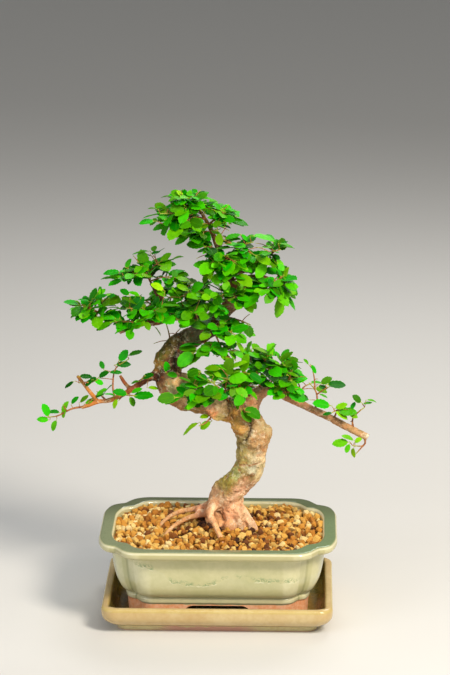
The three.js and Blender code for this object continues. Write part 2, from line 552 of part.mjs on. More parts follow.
const archOutline = new THREE.Shape();
archOutline.moveTo(-ARCH.halfWidth, 0);
archOutline.lineTo(ARCH.halfWidth, 0);
archOutline.lineTo(ARCH.halfWidth, ARCH.top - ARCH.corner);
archOutline.absarc(ARCH.halfWidth - ARCH.corner, ARCH.top - ARCH.corner, ARCH.corner, 0, Math.PI / 2);
archOutline.absarc(ARCH.corner - ARCH.halfWidth, ARCH.top - ARCH.corner, ARCH.corner, Math.PI / 2, Math.PI);
const archGeometry = new THREE.ExtrudeGeometry(archOutline, {
  depth: 2 * POT.halfDepth, bevelEnabled: false, curveSegments: 4,
}).rotateX(Math.PI / 2).translate(0, POT.halfDepth, 0);
const drain = new THREE.CylinderGeometry(DRAIN.radius, DRAIN.radius, 20, 14).rotateX(Math.PI / 2);
const drains = [-DRAIN.offset, DRAIN.offset].map((x) => toSolid(drain.clone().translate(x, 0, POT.floorUnder)));
const potSolid = wasm.Manifold.difference([
  profileSolid(POT, POT_PROFILE, LOBED_CORNER), toSolid(archGeometry), ...drains]);
addPiece(bonsai, 'pot', potSolid, materials.potGlaze);

const screenHeight = POT.floorTop + CLEARANCE + SCREEN.thickness / 2;
for (const [name, x] of [['drain_screen_left', -DRAIN.offset], ['drain_screen_right', DRAIN.offset]]) {
  const slots = [-1, 0, 1].map((k) => boxSolid(
    SCREEN.slotLength, SCREEN.slotWidth, 4, x, k * SCREEN.slotPitch, screenHeight));
  const plate = boxSolid(SCREEN.side, SCREEN.side, SCREEN.thickness, x, 0, screenHeight);
  addPiece(bonsai, name, wasm.Manifold.difference([plate, ...slots]), materials.screen);
}

const wood = trunkSolid(0);
const woodWithRoom = trunkSolid(CLEARANCE);
const recessSide = SCREEN.side + 2 * CLEARANCE;
const recesses = [-DRAIN.offset, DRAIN.offset].map((x) => boxSolid(
  recessSide, recessSide, 2 * (SCREEN.thickness + 2 * CLEARANCE), x, 0, POT.floorTop));
const soilSolid = wasm.Manifold.difference([
  profileSolid(POT, SOIL_PROFILE, LOBED_CORNER).intersect(granuleBlock()), woodWithRoom, ...recesses]);
addPiece(bonsai, 'soil', soilSolid, materials.granules);
addPiece(bonsai, 'trunk', wood, materials.bark);
buildSprays(bonsai, woodWithRoom, materials);

export default bonsai;
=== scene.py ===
import json
import math
from contextlib import contextmanager
from functools import partial

import bmesh
import bpy
import numpy as np
from mathutils import Matrix, Vector, kdtree, noise

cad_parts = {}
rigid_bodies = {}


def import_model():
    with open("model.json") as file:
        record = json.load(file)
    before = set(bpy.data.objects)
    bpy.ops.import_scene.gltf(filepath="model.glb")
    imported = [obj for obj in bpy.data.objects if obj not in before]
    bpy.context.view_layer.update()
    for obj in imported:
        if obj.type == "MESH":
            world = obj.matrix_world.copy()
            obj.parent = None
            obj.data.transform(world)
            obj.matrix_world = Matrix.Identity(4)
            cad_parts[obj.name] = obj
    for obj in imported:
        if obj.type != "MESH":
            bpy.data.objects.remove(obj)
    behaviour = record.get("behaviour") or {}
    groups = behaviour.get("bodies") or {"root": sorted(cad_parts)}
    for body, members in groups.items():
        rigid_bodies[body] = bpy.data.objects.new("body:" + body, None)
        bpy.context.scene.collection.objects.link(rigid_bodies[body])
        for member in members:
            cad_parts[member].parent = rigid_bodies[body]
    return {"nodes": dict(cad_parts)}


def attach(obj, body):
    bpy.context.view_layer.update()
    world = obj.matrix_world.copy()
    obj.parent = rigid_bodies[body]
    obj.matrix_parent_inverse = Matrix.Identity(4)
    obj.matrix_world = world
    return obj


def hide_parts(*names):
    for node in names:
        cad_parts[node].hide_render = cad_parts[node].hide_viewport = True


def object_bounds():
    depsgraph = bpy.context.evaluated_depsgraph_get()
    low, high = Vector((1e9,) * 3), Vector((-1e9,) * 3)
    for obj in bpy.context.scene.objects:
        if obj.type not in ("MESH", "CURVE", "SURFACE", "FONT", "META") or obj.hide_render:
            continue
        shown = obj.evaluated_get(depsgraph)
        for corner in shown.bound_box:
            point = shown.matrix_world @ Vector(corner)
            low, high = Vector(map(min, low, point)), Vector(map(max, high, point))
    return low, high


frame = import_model()        # one body, "root"
cadLow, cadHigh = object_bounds()
mm = 0.001
scene = bpy.context.scene


# Small helpers: colours and nodes

def hexColour(value):
    # sRGB hex to the linear colour that a shader wants
    parts = [int(value[i:i + 2], 16) / 255 for i in (1, 3, 5)]
    return (*[c / 12.92 if c <= 0.04045 else ((c + 0.055) / 1.055) ** 2.4 for c in parts], 1.0)


def feed(node, inputs):
    # each input takes a plain value, a hex colour or the socket that feeds it
    for key, value in inputs.items():
        if isinstance(value, bpy.types.NodeSocket):
            node.id_data.links.new(value, node.inputs[key])
        else:
            isHex = isinstance(value, str) and value.startswith("#")
            node.inputs[key].default_value = hexColour(value) if isHex else value


def addNode(tree, kind, inputs=None, **settings):
    node = tree.nodes.new(kind)
    for key, value in settings.items():
        setattr(node, key, value)
    feed(node, inputs or {})
    return node


def newMaterial(name, **constants):
    # a Principled material, with the values that are the same all over set on its own sockets
    material = bpy.data.materials.new(name)
    material.use_nodes = True
    tree = material.node_tree
    tree.nodes.clear()
    inputs = {key.replace("_", " "): value for key, value in constants.items()}
    shader = addNode(tree, "ShaderNodeBsdfPrincipled", inputs)
    addNode(tree, "ShaderNodeOutputMaterial", {"Surface": shader.outputs["BSDF"]})
    return material, shader, addNode(tree, "ShaderNodeTexCoord").outputs["Object"]


# The next helpers add their node to the tree of the socket that they are given.

def noiseAt(spot, size, detail=3.0, roughness=0.55, distortion=0.0):
    # noise with features of about this many millimetres, since Object coordinates are in metres
    return addNode(spot.id_data, "ShaderNodeTexNoise", {
        "Vector": spot, "Scale": 1 / (size * mm), "Detail": detail, "Roughness": roughness,
        "Distortion": distortion}).outputs["Fac"]


def spread(value, low, high, toLow=0.0, toHigh=1.0):
    # value from low..high to toLow..toHigh, held inside
    return addNode(value.id_data, "ShaderNodeMapRange", {
        "Value": value, "From Min": low, "From Max": high, "To Min": toLow, "To Max": toHigh},
        interpolation_type="SMOOTHSTEP").outputs["Result"]


def fade(value, low, high, full=1.0):
    # full at low, gone at high
    return spread(value, low, high, full, 0.0)


def sums(operation, a, b=0.0):
    tree = (a if isinstance(a, bpy.types.NodeSocket) else b).id_data
    return addNode(tree, "ShaderNodeMath", {0: a, 1: b}, operation=operation).outputs[0]


times, plus, minus, absolute = (partial(sums, name) for name in ("MULTIPLY", "ADD", "SUBTRACT", "ABSOLUTE"))


def between(value, low, lowFull, highFull, high):
    # 1 from lowFull to highFull, fading to 0 at low and high
    return times(spread(value, low, lowFull), fade(value, highFull, high))


def blend(share, under, over):
    inputs = {0: share, 6: under, 7: over}
    return addNode(share.id_data, "ShaderNodeMix", inputs, data_type="RGBA", blend_type="MIX").outputs[2]


def bumpFrom(height, distance, strength=1.0, under=None):
    inputs = {"Height": height, "Distance": distance * mm, "Strength": strength}
    if under is not None:
        inputs["Normal"] = under
    return addNode(height.id_data, "ShaderNodeBump", inputs).outputs["Normal"]


def splitUp(vector):
    return addNode(vector.id_data, "ShaderNodeSeparateXYZ", {0: vector}).outputs


def attributeOf(socket, name, output="Fac"):
    # a mesh attribute, read in the material that the socket belongs to
    return addNode(socket.id_data, "ShaderNodeAttribute", attribute_name=name).outputs[output]


def colourRamp(value, stops):
    ramp = addNode(value.id_data, "ShaderNodeValToRGB", {"Fac": value})
    elements = ramp.color_ramp.elements
    elements[0].color, elements[1].color = hexColour(stops[0][1]), hexColour(stops[-1][1])
    for place, colour in stops[1:-1]:
        elements.new(place).color = hexColour(colour)
    return ramp.outputs["Color"]


# Small helpers: objects and meshes

def addObject(name, data):
    obj = bpy.data.objects.new(name, data)
    scene.collection.objects.link(obj)
    return obj


def meshObject(name, points, faces=(), edges=()):
    mesh = bpy.data.meshes.new(name)
    mesh.from_pydata([tuple(p) for p in points], edges, faces)
    mesh.update()
    return addObject(name, mesh)


def tubeFaces(rows, count):
    # quads between rows of points, each row closed on itself, and a lid on both ends, the last row's last
    faces = []
    for a in range(0, (rows - 1) * count, count):
        for i in range(count):
            j = (i + 1) % count
            faces.append((a + i, a + j, a + count + j, a + count + i))
    return faces + [tuple(range(count))[::-1], tuple(range((rows - 1) * count, rows * count))]


@contextmanager
def editing(mesh):
    bm = bmesh.new()
    bm.from_mesh(mesh)
    yield bm
    bm.to_mesh(mesh)
    bm.free()


def freezeModifiers(obj):
    # the evaluated object as a plain mesh, with its modifiers gone
    dg = bpy.context.evaluated_depsgraph_get()
    mesh = bpy.data.meshes.new_from_object(obj.evaluated_get(dg))
    obj.modifiers.clear()
    old = obj.data
    obj.data = mesh
    bpy.data.meshes.remove(old)
    return obj


def smoothShade(obj, sharpDegrees):
    obj.data.shade_smooth()
    with editing(obj.data) as bm:
        for edge in bm.edges:
            edge.smooth = not edge.is_manifold or edge.calc_face_angle(0) < math.radians(sharpDegrees)


def readPoints(mesh, field):
    values = np.zeros(len(mesh.vertices) * 3)
    mesh.vertices.foreach_get(field, values)
    return values.reshape(-1, 3)


def storeOn(mesh, name, kind, values, field="value", numpyKind=np.float32):
    store = mesh.attributes.new(name, kind, "POINT")
    store.data.foreach_set(field, np.array(values, numpyKind).ravel())


def finishPiece(obj, material, node):
    # the piece rides on the one body and stands for this solid
    if material:
        obj.data.materials.append(material)
    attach(obj, "root")
    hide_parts(node)


# Camera, floor and lights

cameraSet = {"lens": 158.7, "sensor": 36.0, "distance": 2.5, "elevation": 15.0, "azimuth": 1.6,
             "target": (0.0052, 0.0, 0.2404), "photo": (450, 675)}
# metres and sRGB colours
stageSet = {"halfWidth": 9.0, "front": -9.0, "bend": 7.0, "bendRadius": 1.2, "height": 6.0,
            "paper": "#d9d7d2", "room": "#e6e8ea", "roomLight": 0.30}
# name, place, width and height, watts, colour
lamps = [
    ("keyRight", (0.85, -1.0, 1.25), (0.4, 0.5), 31.0, "#fff6e8"),
    ("fillLeft", (-1.0, -0.9, 0.7), (0.7, 0.9), 6.0, "#eef4ff"),
    ("stripFront", (0.1, -1.1, 1.3), (1.5, 0.05), 5.0, "#ffffff"),
    ("rimBack", (0.3, 1.0, 1.2), (0.9, 0.5), 8.0, "#ffffff"),
]
lampAim = (0.0, 0.0, 0.2)


def aimed(obj, place, direction):
    obj.location = place
    obj.rotation_mode = "QUATERNION"
    obj.rotation_quaternion = direction.to_track_quat("-Z", "Y")
    return obj


def setCamera():
    a, e = math.radians(cameraSet["azimuth"]), math.radians(cameraSet["elevation"])
    back = Vector((math.sin(a) * math.cos(e), -math.cos(a) * math.cos(e), math.sin(e)))
    data = bpy.data.cameras.new("camera")
    data.lens, data.sensor_width, data.clip_end = cameraSet["lens"], cameraSet["sensor"], 20.0
    place = Vector(cameraSet["target"]) + back * cameraSet["distance"]
    scene.camera = aimed(addObject("camera", data), place, -back)


def setStage():
    # a pale floor that curves up into the wall behind
    bend, radius, side = stageSet["bend"], stageSet["bendRadius"], stageSet["halfWidth"]
    profile = [(stageSet["front"], 0.0), (bend, 0.0)]
    for a in np.linspace(0.1, math.pi / 2, 14):
        profile.append((bend + radius * math.sin(a), radius - radius * math.cos(a)))
    profile.append((bend + radius, stageSet["height"]))
    points = [(x, y, z) for y, z in profile for x in (-side, side)]
    faces = [(i, i + 1, i + 3, i + 2) for i in range(0, len(points) - 2, 2)]
    backdrop = meshObject("backdrop", points, faces)
    backdrop.data.shade_smooth()
    paper = newMaterial("backdropPaper", Roughness=0.9, Base_Color=stageSet["paper"])[0]
    backdrop.data.materials.append(paper)
    scene.world = bpy.data.worlds.new("softRoom")
    scene.world.use_nodes = True
    sky = scene.world.node_tree.nodes["Background"]
    feed(sky, {"Color": stageSet["room"], "Strength": stageSet["roomLight"]})
    for name, place, size, watts, colour in lamps:
        data = bpy.data.lights.new(name, "AREA")
        data.shape = "RECTANGLE"
        data.size, data.size_y = size
        data.energy, data.color = watts, hexColour(colour)[:3]
        aimed(addObject(name, data), place, Vector(lampAim) - Vector(place))
    scene.view_settings.view_transform = "Standard"


setCamera()
setStage()
print("stage: camera, floor and lights")


# Pot and saucer

potShape = {
    "halfLength": 101.2, "halfDepth": 76.5,
    # turns round a quarter of the plan: radius, degrees, steps; or a straight run
    "corner": [(52, 20, 6), (12, 48, 9), (2.6,), (4.4, -36, 6), (7.4,), (14, 34, 6), (21, 24, 5)],
    # inset from the rim's outline, height, size of the corners, rounding of the profile there
    "rows": [
        (34, 21.5, 0.55, 0), (33, 6.3, 0.55, 0.8), (25, 6.3, 0.7, 0.8), (24, 21.6, 0.7, 0.3),
        (22.8, 23.0, 0.72, 1.0), (22.6, 26.2, 0.72, 1.1), (23.4, 27.4, 0.74, 0.5), (18.4, 30.6, 0.85, 3),
        (14.6, 38, 0.97, 5), (12.4, 47, 1.03, 6), (10.2, 62, 1.1, 2.5), (9.4, 66.6, 1.12, 0.8),
        (1.8, 67.5, 1.15, 1.6), (0.1, 69.6, 1.15, 1.1), (0, 72.8, 1.15, 1.4), (1.8, 74.9, 1.15, 1.2),
        (10.6, 74.9, 1.08, 0.9), (12.4, 73.0, 1.05, 1.6), (14.4, 60, 0.95, 3), (34, 27, 0.6, 0)],
    "warp": 0.35,
    "archHalfWidth": 29, "archTop": 20.4, "archCorner": 9, "archReach": 90,
    "drainRadius": 8, "drainOffset": 38, "drainDepth": (16, 32),
    # where the upper coat of glaze ends on the front: x and height
    "tideLine": [
        (-90, 60), (-74, 59.4), (-53, 56), (-46, 54.5), (-40, 45.8), (-33, 42.6), (-8, 41), (6, 46.6),
        (15, 48.6), (26, 46.2), (45, 44.5), (70, 45), (90, 46)],
}
saucerShape = {
    "halfLength": 97.5, "halfDepth": 71,
    "corner": [(10, 90, 16)],
    "rows": [
        (13, 0, 1, 0.6), (12, 4.0, 1, 0.9), (9, 5.6, 1, 0.8), (4.5, 8, 1.1, 2), (1.2, 11.6, 1.2, 2.4),
        (0, 15.6, 1.2, 2.4), (0, 21.0, 1.2, 1.3), (1.6, 22.9, 1.2, 1.2), (5.2, 22.9, 1, 1.2),
        (6.8, 21.2, 0.9, 1.4), (8.2, 12, 0.8, 2.5), (11.5, 7.4, 0.7, 2), (15, 6, 0.6, 1.5)],
    "warp": 0.3,
}
potteryEdge = 50        # degrees: a sharper fold keeps its hard edge


def roundedRows(rows):
    # each bend of the profile becomes a short curve of five rows
    made = [np.array(rows[0][:3], float)]
    for before, here, after in zip(rows, rows[1:], rows[2:]):
        a, b, c = (np.array(row[:3], float) for row in (before, here, after))
        reachIn = min(here[3] / np.hypot(*(a - b)[:2]), 0.48)
        reachOut = min(here[3] / np.hypot(*(c - b)[:2]), 0.48)
        start, end = b + (a - b) * reachIn, b + (c - b) * reachOut
        for t in np.linspace(0, 1, 5) if here[3] else [0.5]:
            made.append((1 - t) ** 2 * start + 2 * t * (1 - t) * b + t * t * end)
    made.append(np.array(rows[-1][:3], float))
    return made


def planRing(halfLength, halfDepth, corner, size):
    # one quarter walked from the short side to the long one, then mirrored
    walk, heading = [np.zeros(2)], 0.0
    for step in corner:
        count = step[2] if len(step) == 3 else 1
        turn = math.radians(step[1]) / count if len(step) == 3 else 0.0
        chord = 2 * step[0] * math.sin(abs(turn) / 2) if turn else step[0]
        for _ in range(count):
            facing = heading + turn / 2
            walk.append(walk[-1] + chord * size * np.array([-math.sin(facing), math.cos(facing)]))
            heading += turn
    end = walk[-1]
    quarter = [np.array([halfLength + p[0], halfDepth - end[1] + p[1]]) for p in walk]
    ring = []
    corners = [(1, 1, 1), (-1, 1, -1), (-1, -1, 1), (1, -1, -1)]
    for i, (sx, sy, order) in enumerate(corners):
        ring += [np.array([sx * p[0], sy * p[1]]) for p in quarter[::order]]
        nx, ny, nextOrder = corners[(i + 1) % 4]
        first = quarter[::nextOrder][0]
        target = np.array([nx * first[0], ny * first[1]])
        pieces = 16 if i % 2 == 0 else 12
        start = ring[-1]
        ring += [start + (target - start) * k / pieces for k in range(1, pieces)]
    return ring


def ringTurns(ring):
    # how sharply the plan turns at each point: above 0 on a ridge, below 0 in a groove
    ring = np.array(ring)
    before, after = ring - np.roll(ring, 1, axis=0), np.roll(ring, -1, axis=0) - ring
    turns = np.arctan2(before[:, 0] * after[:, 1] - before[:, 1] * after[:, 0], (before * after).sum(axis=1))
    return (np.roll(turns, 1) + 2 * turns + np.roll(turns, -1)) / 4


def insetRing(shape, inset, size):
    return planRing(shape["halfLength"] - inset, shape["halfDepth"] - inset, shape["corner"], size)


def loftPiece(name, shape):
    points = []
    rows = roundedRows(shape["rows"])
    for inset, height, size in rows:
        for x, y in insetRing(shape, inset, size):
            # fired clay is never quite straight: a slow wave pulls the wall in
            pull = shape["warp"] * (0.5 + 0.5 * noise.noise(Vector((x * 0.02, y * 0.02, height * 0.01 + 3))))
            out = np.hypot(x, y)
            points.append((x * (1 - pull / out) * mm, y * (1 - pull / out) * mm, height * mm))
    turns = ringTurns(insetRing(shape, 0, 1))
    piece = meshObject(name, points, tubeFaces(len(rows), len(turns)))
    storeOn(piece.data, "lobe", "FLOAT", np.tile(turns, len(rows)))
    return piece


def prism(name, outline, start, end):
    # a cutter: an outline in x, z pushed along y
    points = [(x * mm, y * mm, z * mm) for y in (start, end) for x, z in outline]
    cutter = meshObject(name, points, tubeFaces(2, len(outline)))
    with editing(cutter.data) as bm:
        bmesh.ops.recalc_face_normals(bm, faces=bm.faces)
    return cutter


def cutAway(obj, cutters):
    for cutter in cutters:
        cut = obj.modifiers.new("cut", "BOOLEAN")
        cut.operation, cut.solver, cut.object = "DIFFERENCE", "EXACT", cutter
    freezeModifiers(obj)
    for cutter in cutters:
        bpy.data.objects.remove(cutter)


def makePot():
    pot = loftPiece("glazedPot", potShape)
    half, top, corner = potShape["archHalfWidth"], potShape["archTop"], potShape["archCorner"]
    outline = [(-half, 0), (half, 0)]
    for side, start in ((1, 0), (-1, 90)):
        for k in range(7):
            a = math.radians(start + 15 * k)
            x = side * (half - corner) + corner * math.cos(a)
            outline.append((x, top - corner + corner * math.sin(a)))
    cutters = [prism("arch", outline, -potShape["archReach"], potShape["archReach"])]
    radius, (low, high) = potShape["drainRadius"], potShape["drainDepth"]
    for x in (-potShape["drainOffset"], potShape["drainOffset"]):
        turns = [k * math.pi / 16 for k in range(32)]
        hole = prism("drain", [(x + radius * math.cos(a), radius * math.sin(a)) for a in turns], -high, -low)
        hole.data.transform(Matrix.Rotation(-math.pi / 2, 4, "X"))
        cutters.append(hole)
    cutAway(pot, cutters)
    smoothShade(pot, potteryEdge)
    return pot


def glazeMaterial():
    # celadon glaze fired over red clay: pale olive, thin and creamy on edges, pooled and greener on flats;
    # painted shade and painted highlights on the lobes, the rim and its edges
    material, shader, spot = newMaterial("celadonGlaze", IOR=1.5)
    x, y, z = splitUp(spot)
    upward = splitUp(addNode(spot.id_data, "ShaderNodeNewGeometry").outputs["Normal"])["Z"]
    mottle = noiseAt(spot, 5, 4, 0.6)
    grains = noiseAt(spot, 1.3, 2, 0.7)
    colour = blend(spread(noiseAt(spot, 34, 3), 0.35, 0.65), "#bebd8f", "#cdc99e")
    colour = blend(times(fade(z, 0.030, 0.050), 0.5), colour, "#c0b984")
    # thin glaze on the lip and on the foot bead
    lip = between(z, 0.0665, 0.0700, 0.0738, 0.0752)
    bead = between(z, 0.0215, 0.0235, 0.0262, 0.0275)
    colour = blend(times(lip, 0.75), colour, "#a39869")
    colour = blend(times(bead, 0.7), colour, "#ddd3a4")
    # thin and pale on the ridges of the lobes, thick and greener in their grooves, with painted shade
    # darkening the grooves and a painted highlight on the ridges
    lobe = attributeOf(spot, "lobe")
    colour = blend(fade(lobe, -0.12, -0.01, 0.6), colour, "#8c8d60")
    colour = blend(spread(lobe, 0.03, 0.1, 0.0, 0.35), colour, "#ece7c4")
    # the tide line where two coats of glaze met: a pale crest with green specks above it, in patches
    line = addNode(spot.id_data, "ShaderNodeFloatCurve", {"Value": plus(times(x, 5.0), 0.5)})
    places = [((across + 100) / 200, (height - 30) / 40) for across, height in potShape["tideLine"]]
    curve = line.mapping.curves[0]
    curve.points[0].location, curve.points[1].location = places[0], places[-1]
    for place in places[1:-1]:
        curve.points.new(*place)
    line.mapping.update()
    tide = plus(times(line.outputs[0], 0.040), 0.030)
    ragged = times(minus(noiseAt(spot, 7, 4, 0.62), 0.5), 0.006)
    above = minus(plus(z, ragged), tide)
    patches = times(spread(noiseAt(spot, 11, 2), 0.4, 0.54), fade(absolute(x), 0.058, 0.074))
    # it breaks off where it climbs on the left
    patches = times(patches, spread(absolute(plus(x, 0.0465)), 0.005, 0.009))
    crest = times(fade(absolute(above), 0.0002, 0.0009), spread(patches, 0.0, 1.0, 0.0, 0.65))
    band = between(above, 0.0, 0.0006, 0.0015, 0.006)
    specks = times(times(band, patches), spread(noiseAt(spot, 1.2, 1), 0.44, 0.54))
    wall = fade(upward, 0.35, 0.7)
    colour = blend(times(spread(above, 0.0, 0.001), 0.28), colour, "#cdc590")
    colour = blend(times(times(specks, wall), 0.75), colour, "#6d8f62")
    colour = blend(times(times(crest, wall), 0.85), colour, "#e9e6c0")
    colour = blend(spread(mottle, 0.3, 0.7, 0.0, 0.2), colour, "#a9a874")
    # the flat rim, where the glaze pooled to a dull grey green with darker specks towards the right
    rim = blend(spread(x, -0.02, 0.09), "#7a8462", "#6a8258")
    # painted shade: the rim darker towards the back
    rim = blend(spread(y, 0.0, 0.05, 0.0, 0.75), rim, "#46512f")
    rim = blend(times(spread(grains, 0.5, 0.7), 0.5), rim, "#4f6a44")
    flat = times(spread(upward, 0.75, 0.93), spread(z, 0.0715, 0.0725))
    colour = blend(times(flat, 0.92), colour, rim)
    # cream where the glaze thins over the rim's two edges, with a painted highlight along them
    edges = times(between(upward, 0.15, 0.4, 0.65, 0.85), spread(z, 0.0722, 0.0732))
    colour = blend(times(edges, 0.45), colour, "#efebca")
    # bare clay below the glaze's wavy edge, which runs higher at the corner feet
    corners = times(spread(absolute(x), 0.05, 0.078), -0.0018)
    stray = times(minus(noiseAt(spot, 11, 2), 0.5), 0.003)
    bare = fade(plus(z, plus(stray, corners)), 0.0211, 0.0216)
    clay = blend(spread(noiseAt(spot, 3, 4), 0.3, 0.7), "#ee9d66", "#f9bd92")
    skin = bumpFrom(plus(crest, times(grains, 0.12)), 0.25, 0.6, bumpFrom(noiseAt(spot, 9, 2), 0.3))
    feed(shader, {
        "Base Color": blend(bare, colour, clay),
        "Roughness": plus(times(bare, 0.6), spread(mottle, 0.3, 0.7, 0.07, 0.15)), "Normal": skin})
    return material


def saucerMaterial():
    # ochre glaze on stoneware, yellow where thin on the edge, dark and green inside, bare under the front
    material, shader, spot = newMaterial("ochreGlaze", IOR=1.5)
    x, y, z = splitUp(spot)
    mottle = noiseAt(spot, 4, 4, 0.6)
    colour = blend(spread(noiseAt(spot, 30, 3), 0.35, 0.65), "#c7aa76", "#d1ba88")
    shoulder = between(z, 0.0190, 0.0205, 0.0222, 0.0229)
    colour = blend(times(shoulder, 0.35), colour, "#bfae4e")
    colour = blend(times(fade(z, 0.0048, 0.0062), 0.8), colour, "#d8cc9a")
    # inside the wall: distance in from the outline
    inLength = minus(saucerShape["halfLength"] * mm, absolute(x))
    inDepth = minus(saucerShape["halfDepth"] * mm, absolute(y))
    inside = spread(sums("MINIMUM", inLength, inDepth), 0.0055, 0.0075)
    well = blend(spread(noiseAt(spot, 14, 3), 0.4, 0.65), "#6a5a1e", "#484b1c")
    colour = blend(times(inside, spread(z, 0.0052, 0.0058)), colour, well)
    colour = blend(spread(mottle, 0.35, 0.75, 0.0, 0.3), colour, "#b3904c")
    # the bare pinkish streak low on the front, and the bare underside
    streak = times(fade(absolute(minus(x, -0.008)), 0.025, 0.05), fade(y, -0.058, -0.0565))
    ragged = plus(z, times(minus(noiseAt(spot, 7, 2), 0.5), 0.005))
    streak = times(streak, fade(ragged, 0.0036, 0.0044))
    bare = sums("MAXIMUM", streak, fade(z, 0.0004, 0.0009))
    feed(shader, {
        "Base Color": blend(bare, colour, "#cb9a84"),
        "Roughness": plus(times(bare, 0.5), spread(mottle, 0.3, 0.7, 0.16, 0.24)),
        "Normal": bumpFrom(noiseAt(spot, 8, 3), 0.3)})
    return material


def screenMaterial():
    # moulded black mesh, dull with dust
    material, shader, spot = newMaterial("meshPolythene", Roughness=0.55)
    feed(shader, {"Base Color": blend(noiseAt(spot, 3, 3), "#2c2f2c", "#4b4a40")})
    return material


pot = makePot()
pot.data.materials.clear()
finishPiece(pot, glazeMaterial(), "pot")
saucer = loftPiece("glazedSaucer", saucerShape)
smoothShade(saucer, potteryEdge)
finishPiece(saucer, saucerMaterial(), "saucer")
print("pot and saucer:", len(pot.data.polygons), "and", len(saucer.data.polygons), "faces")

screenPlastic = screenMaterial()
for side in ("left", "right"):
    screen = frame["nodes"]["drain_screen_" + side]
    screen.data.materials.clear()
    screen.data.materials.append(screenPlastic)


# The wood: trunk, branches and surface roots

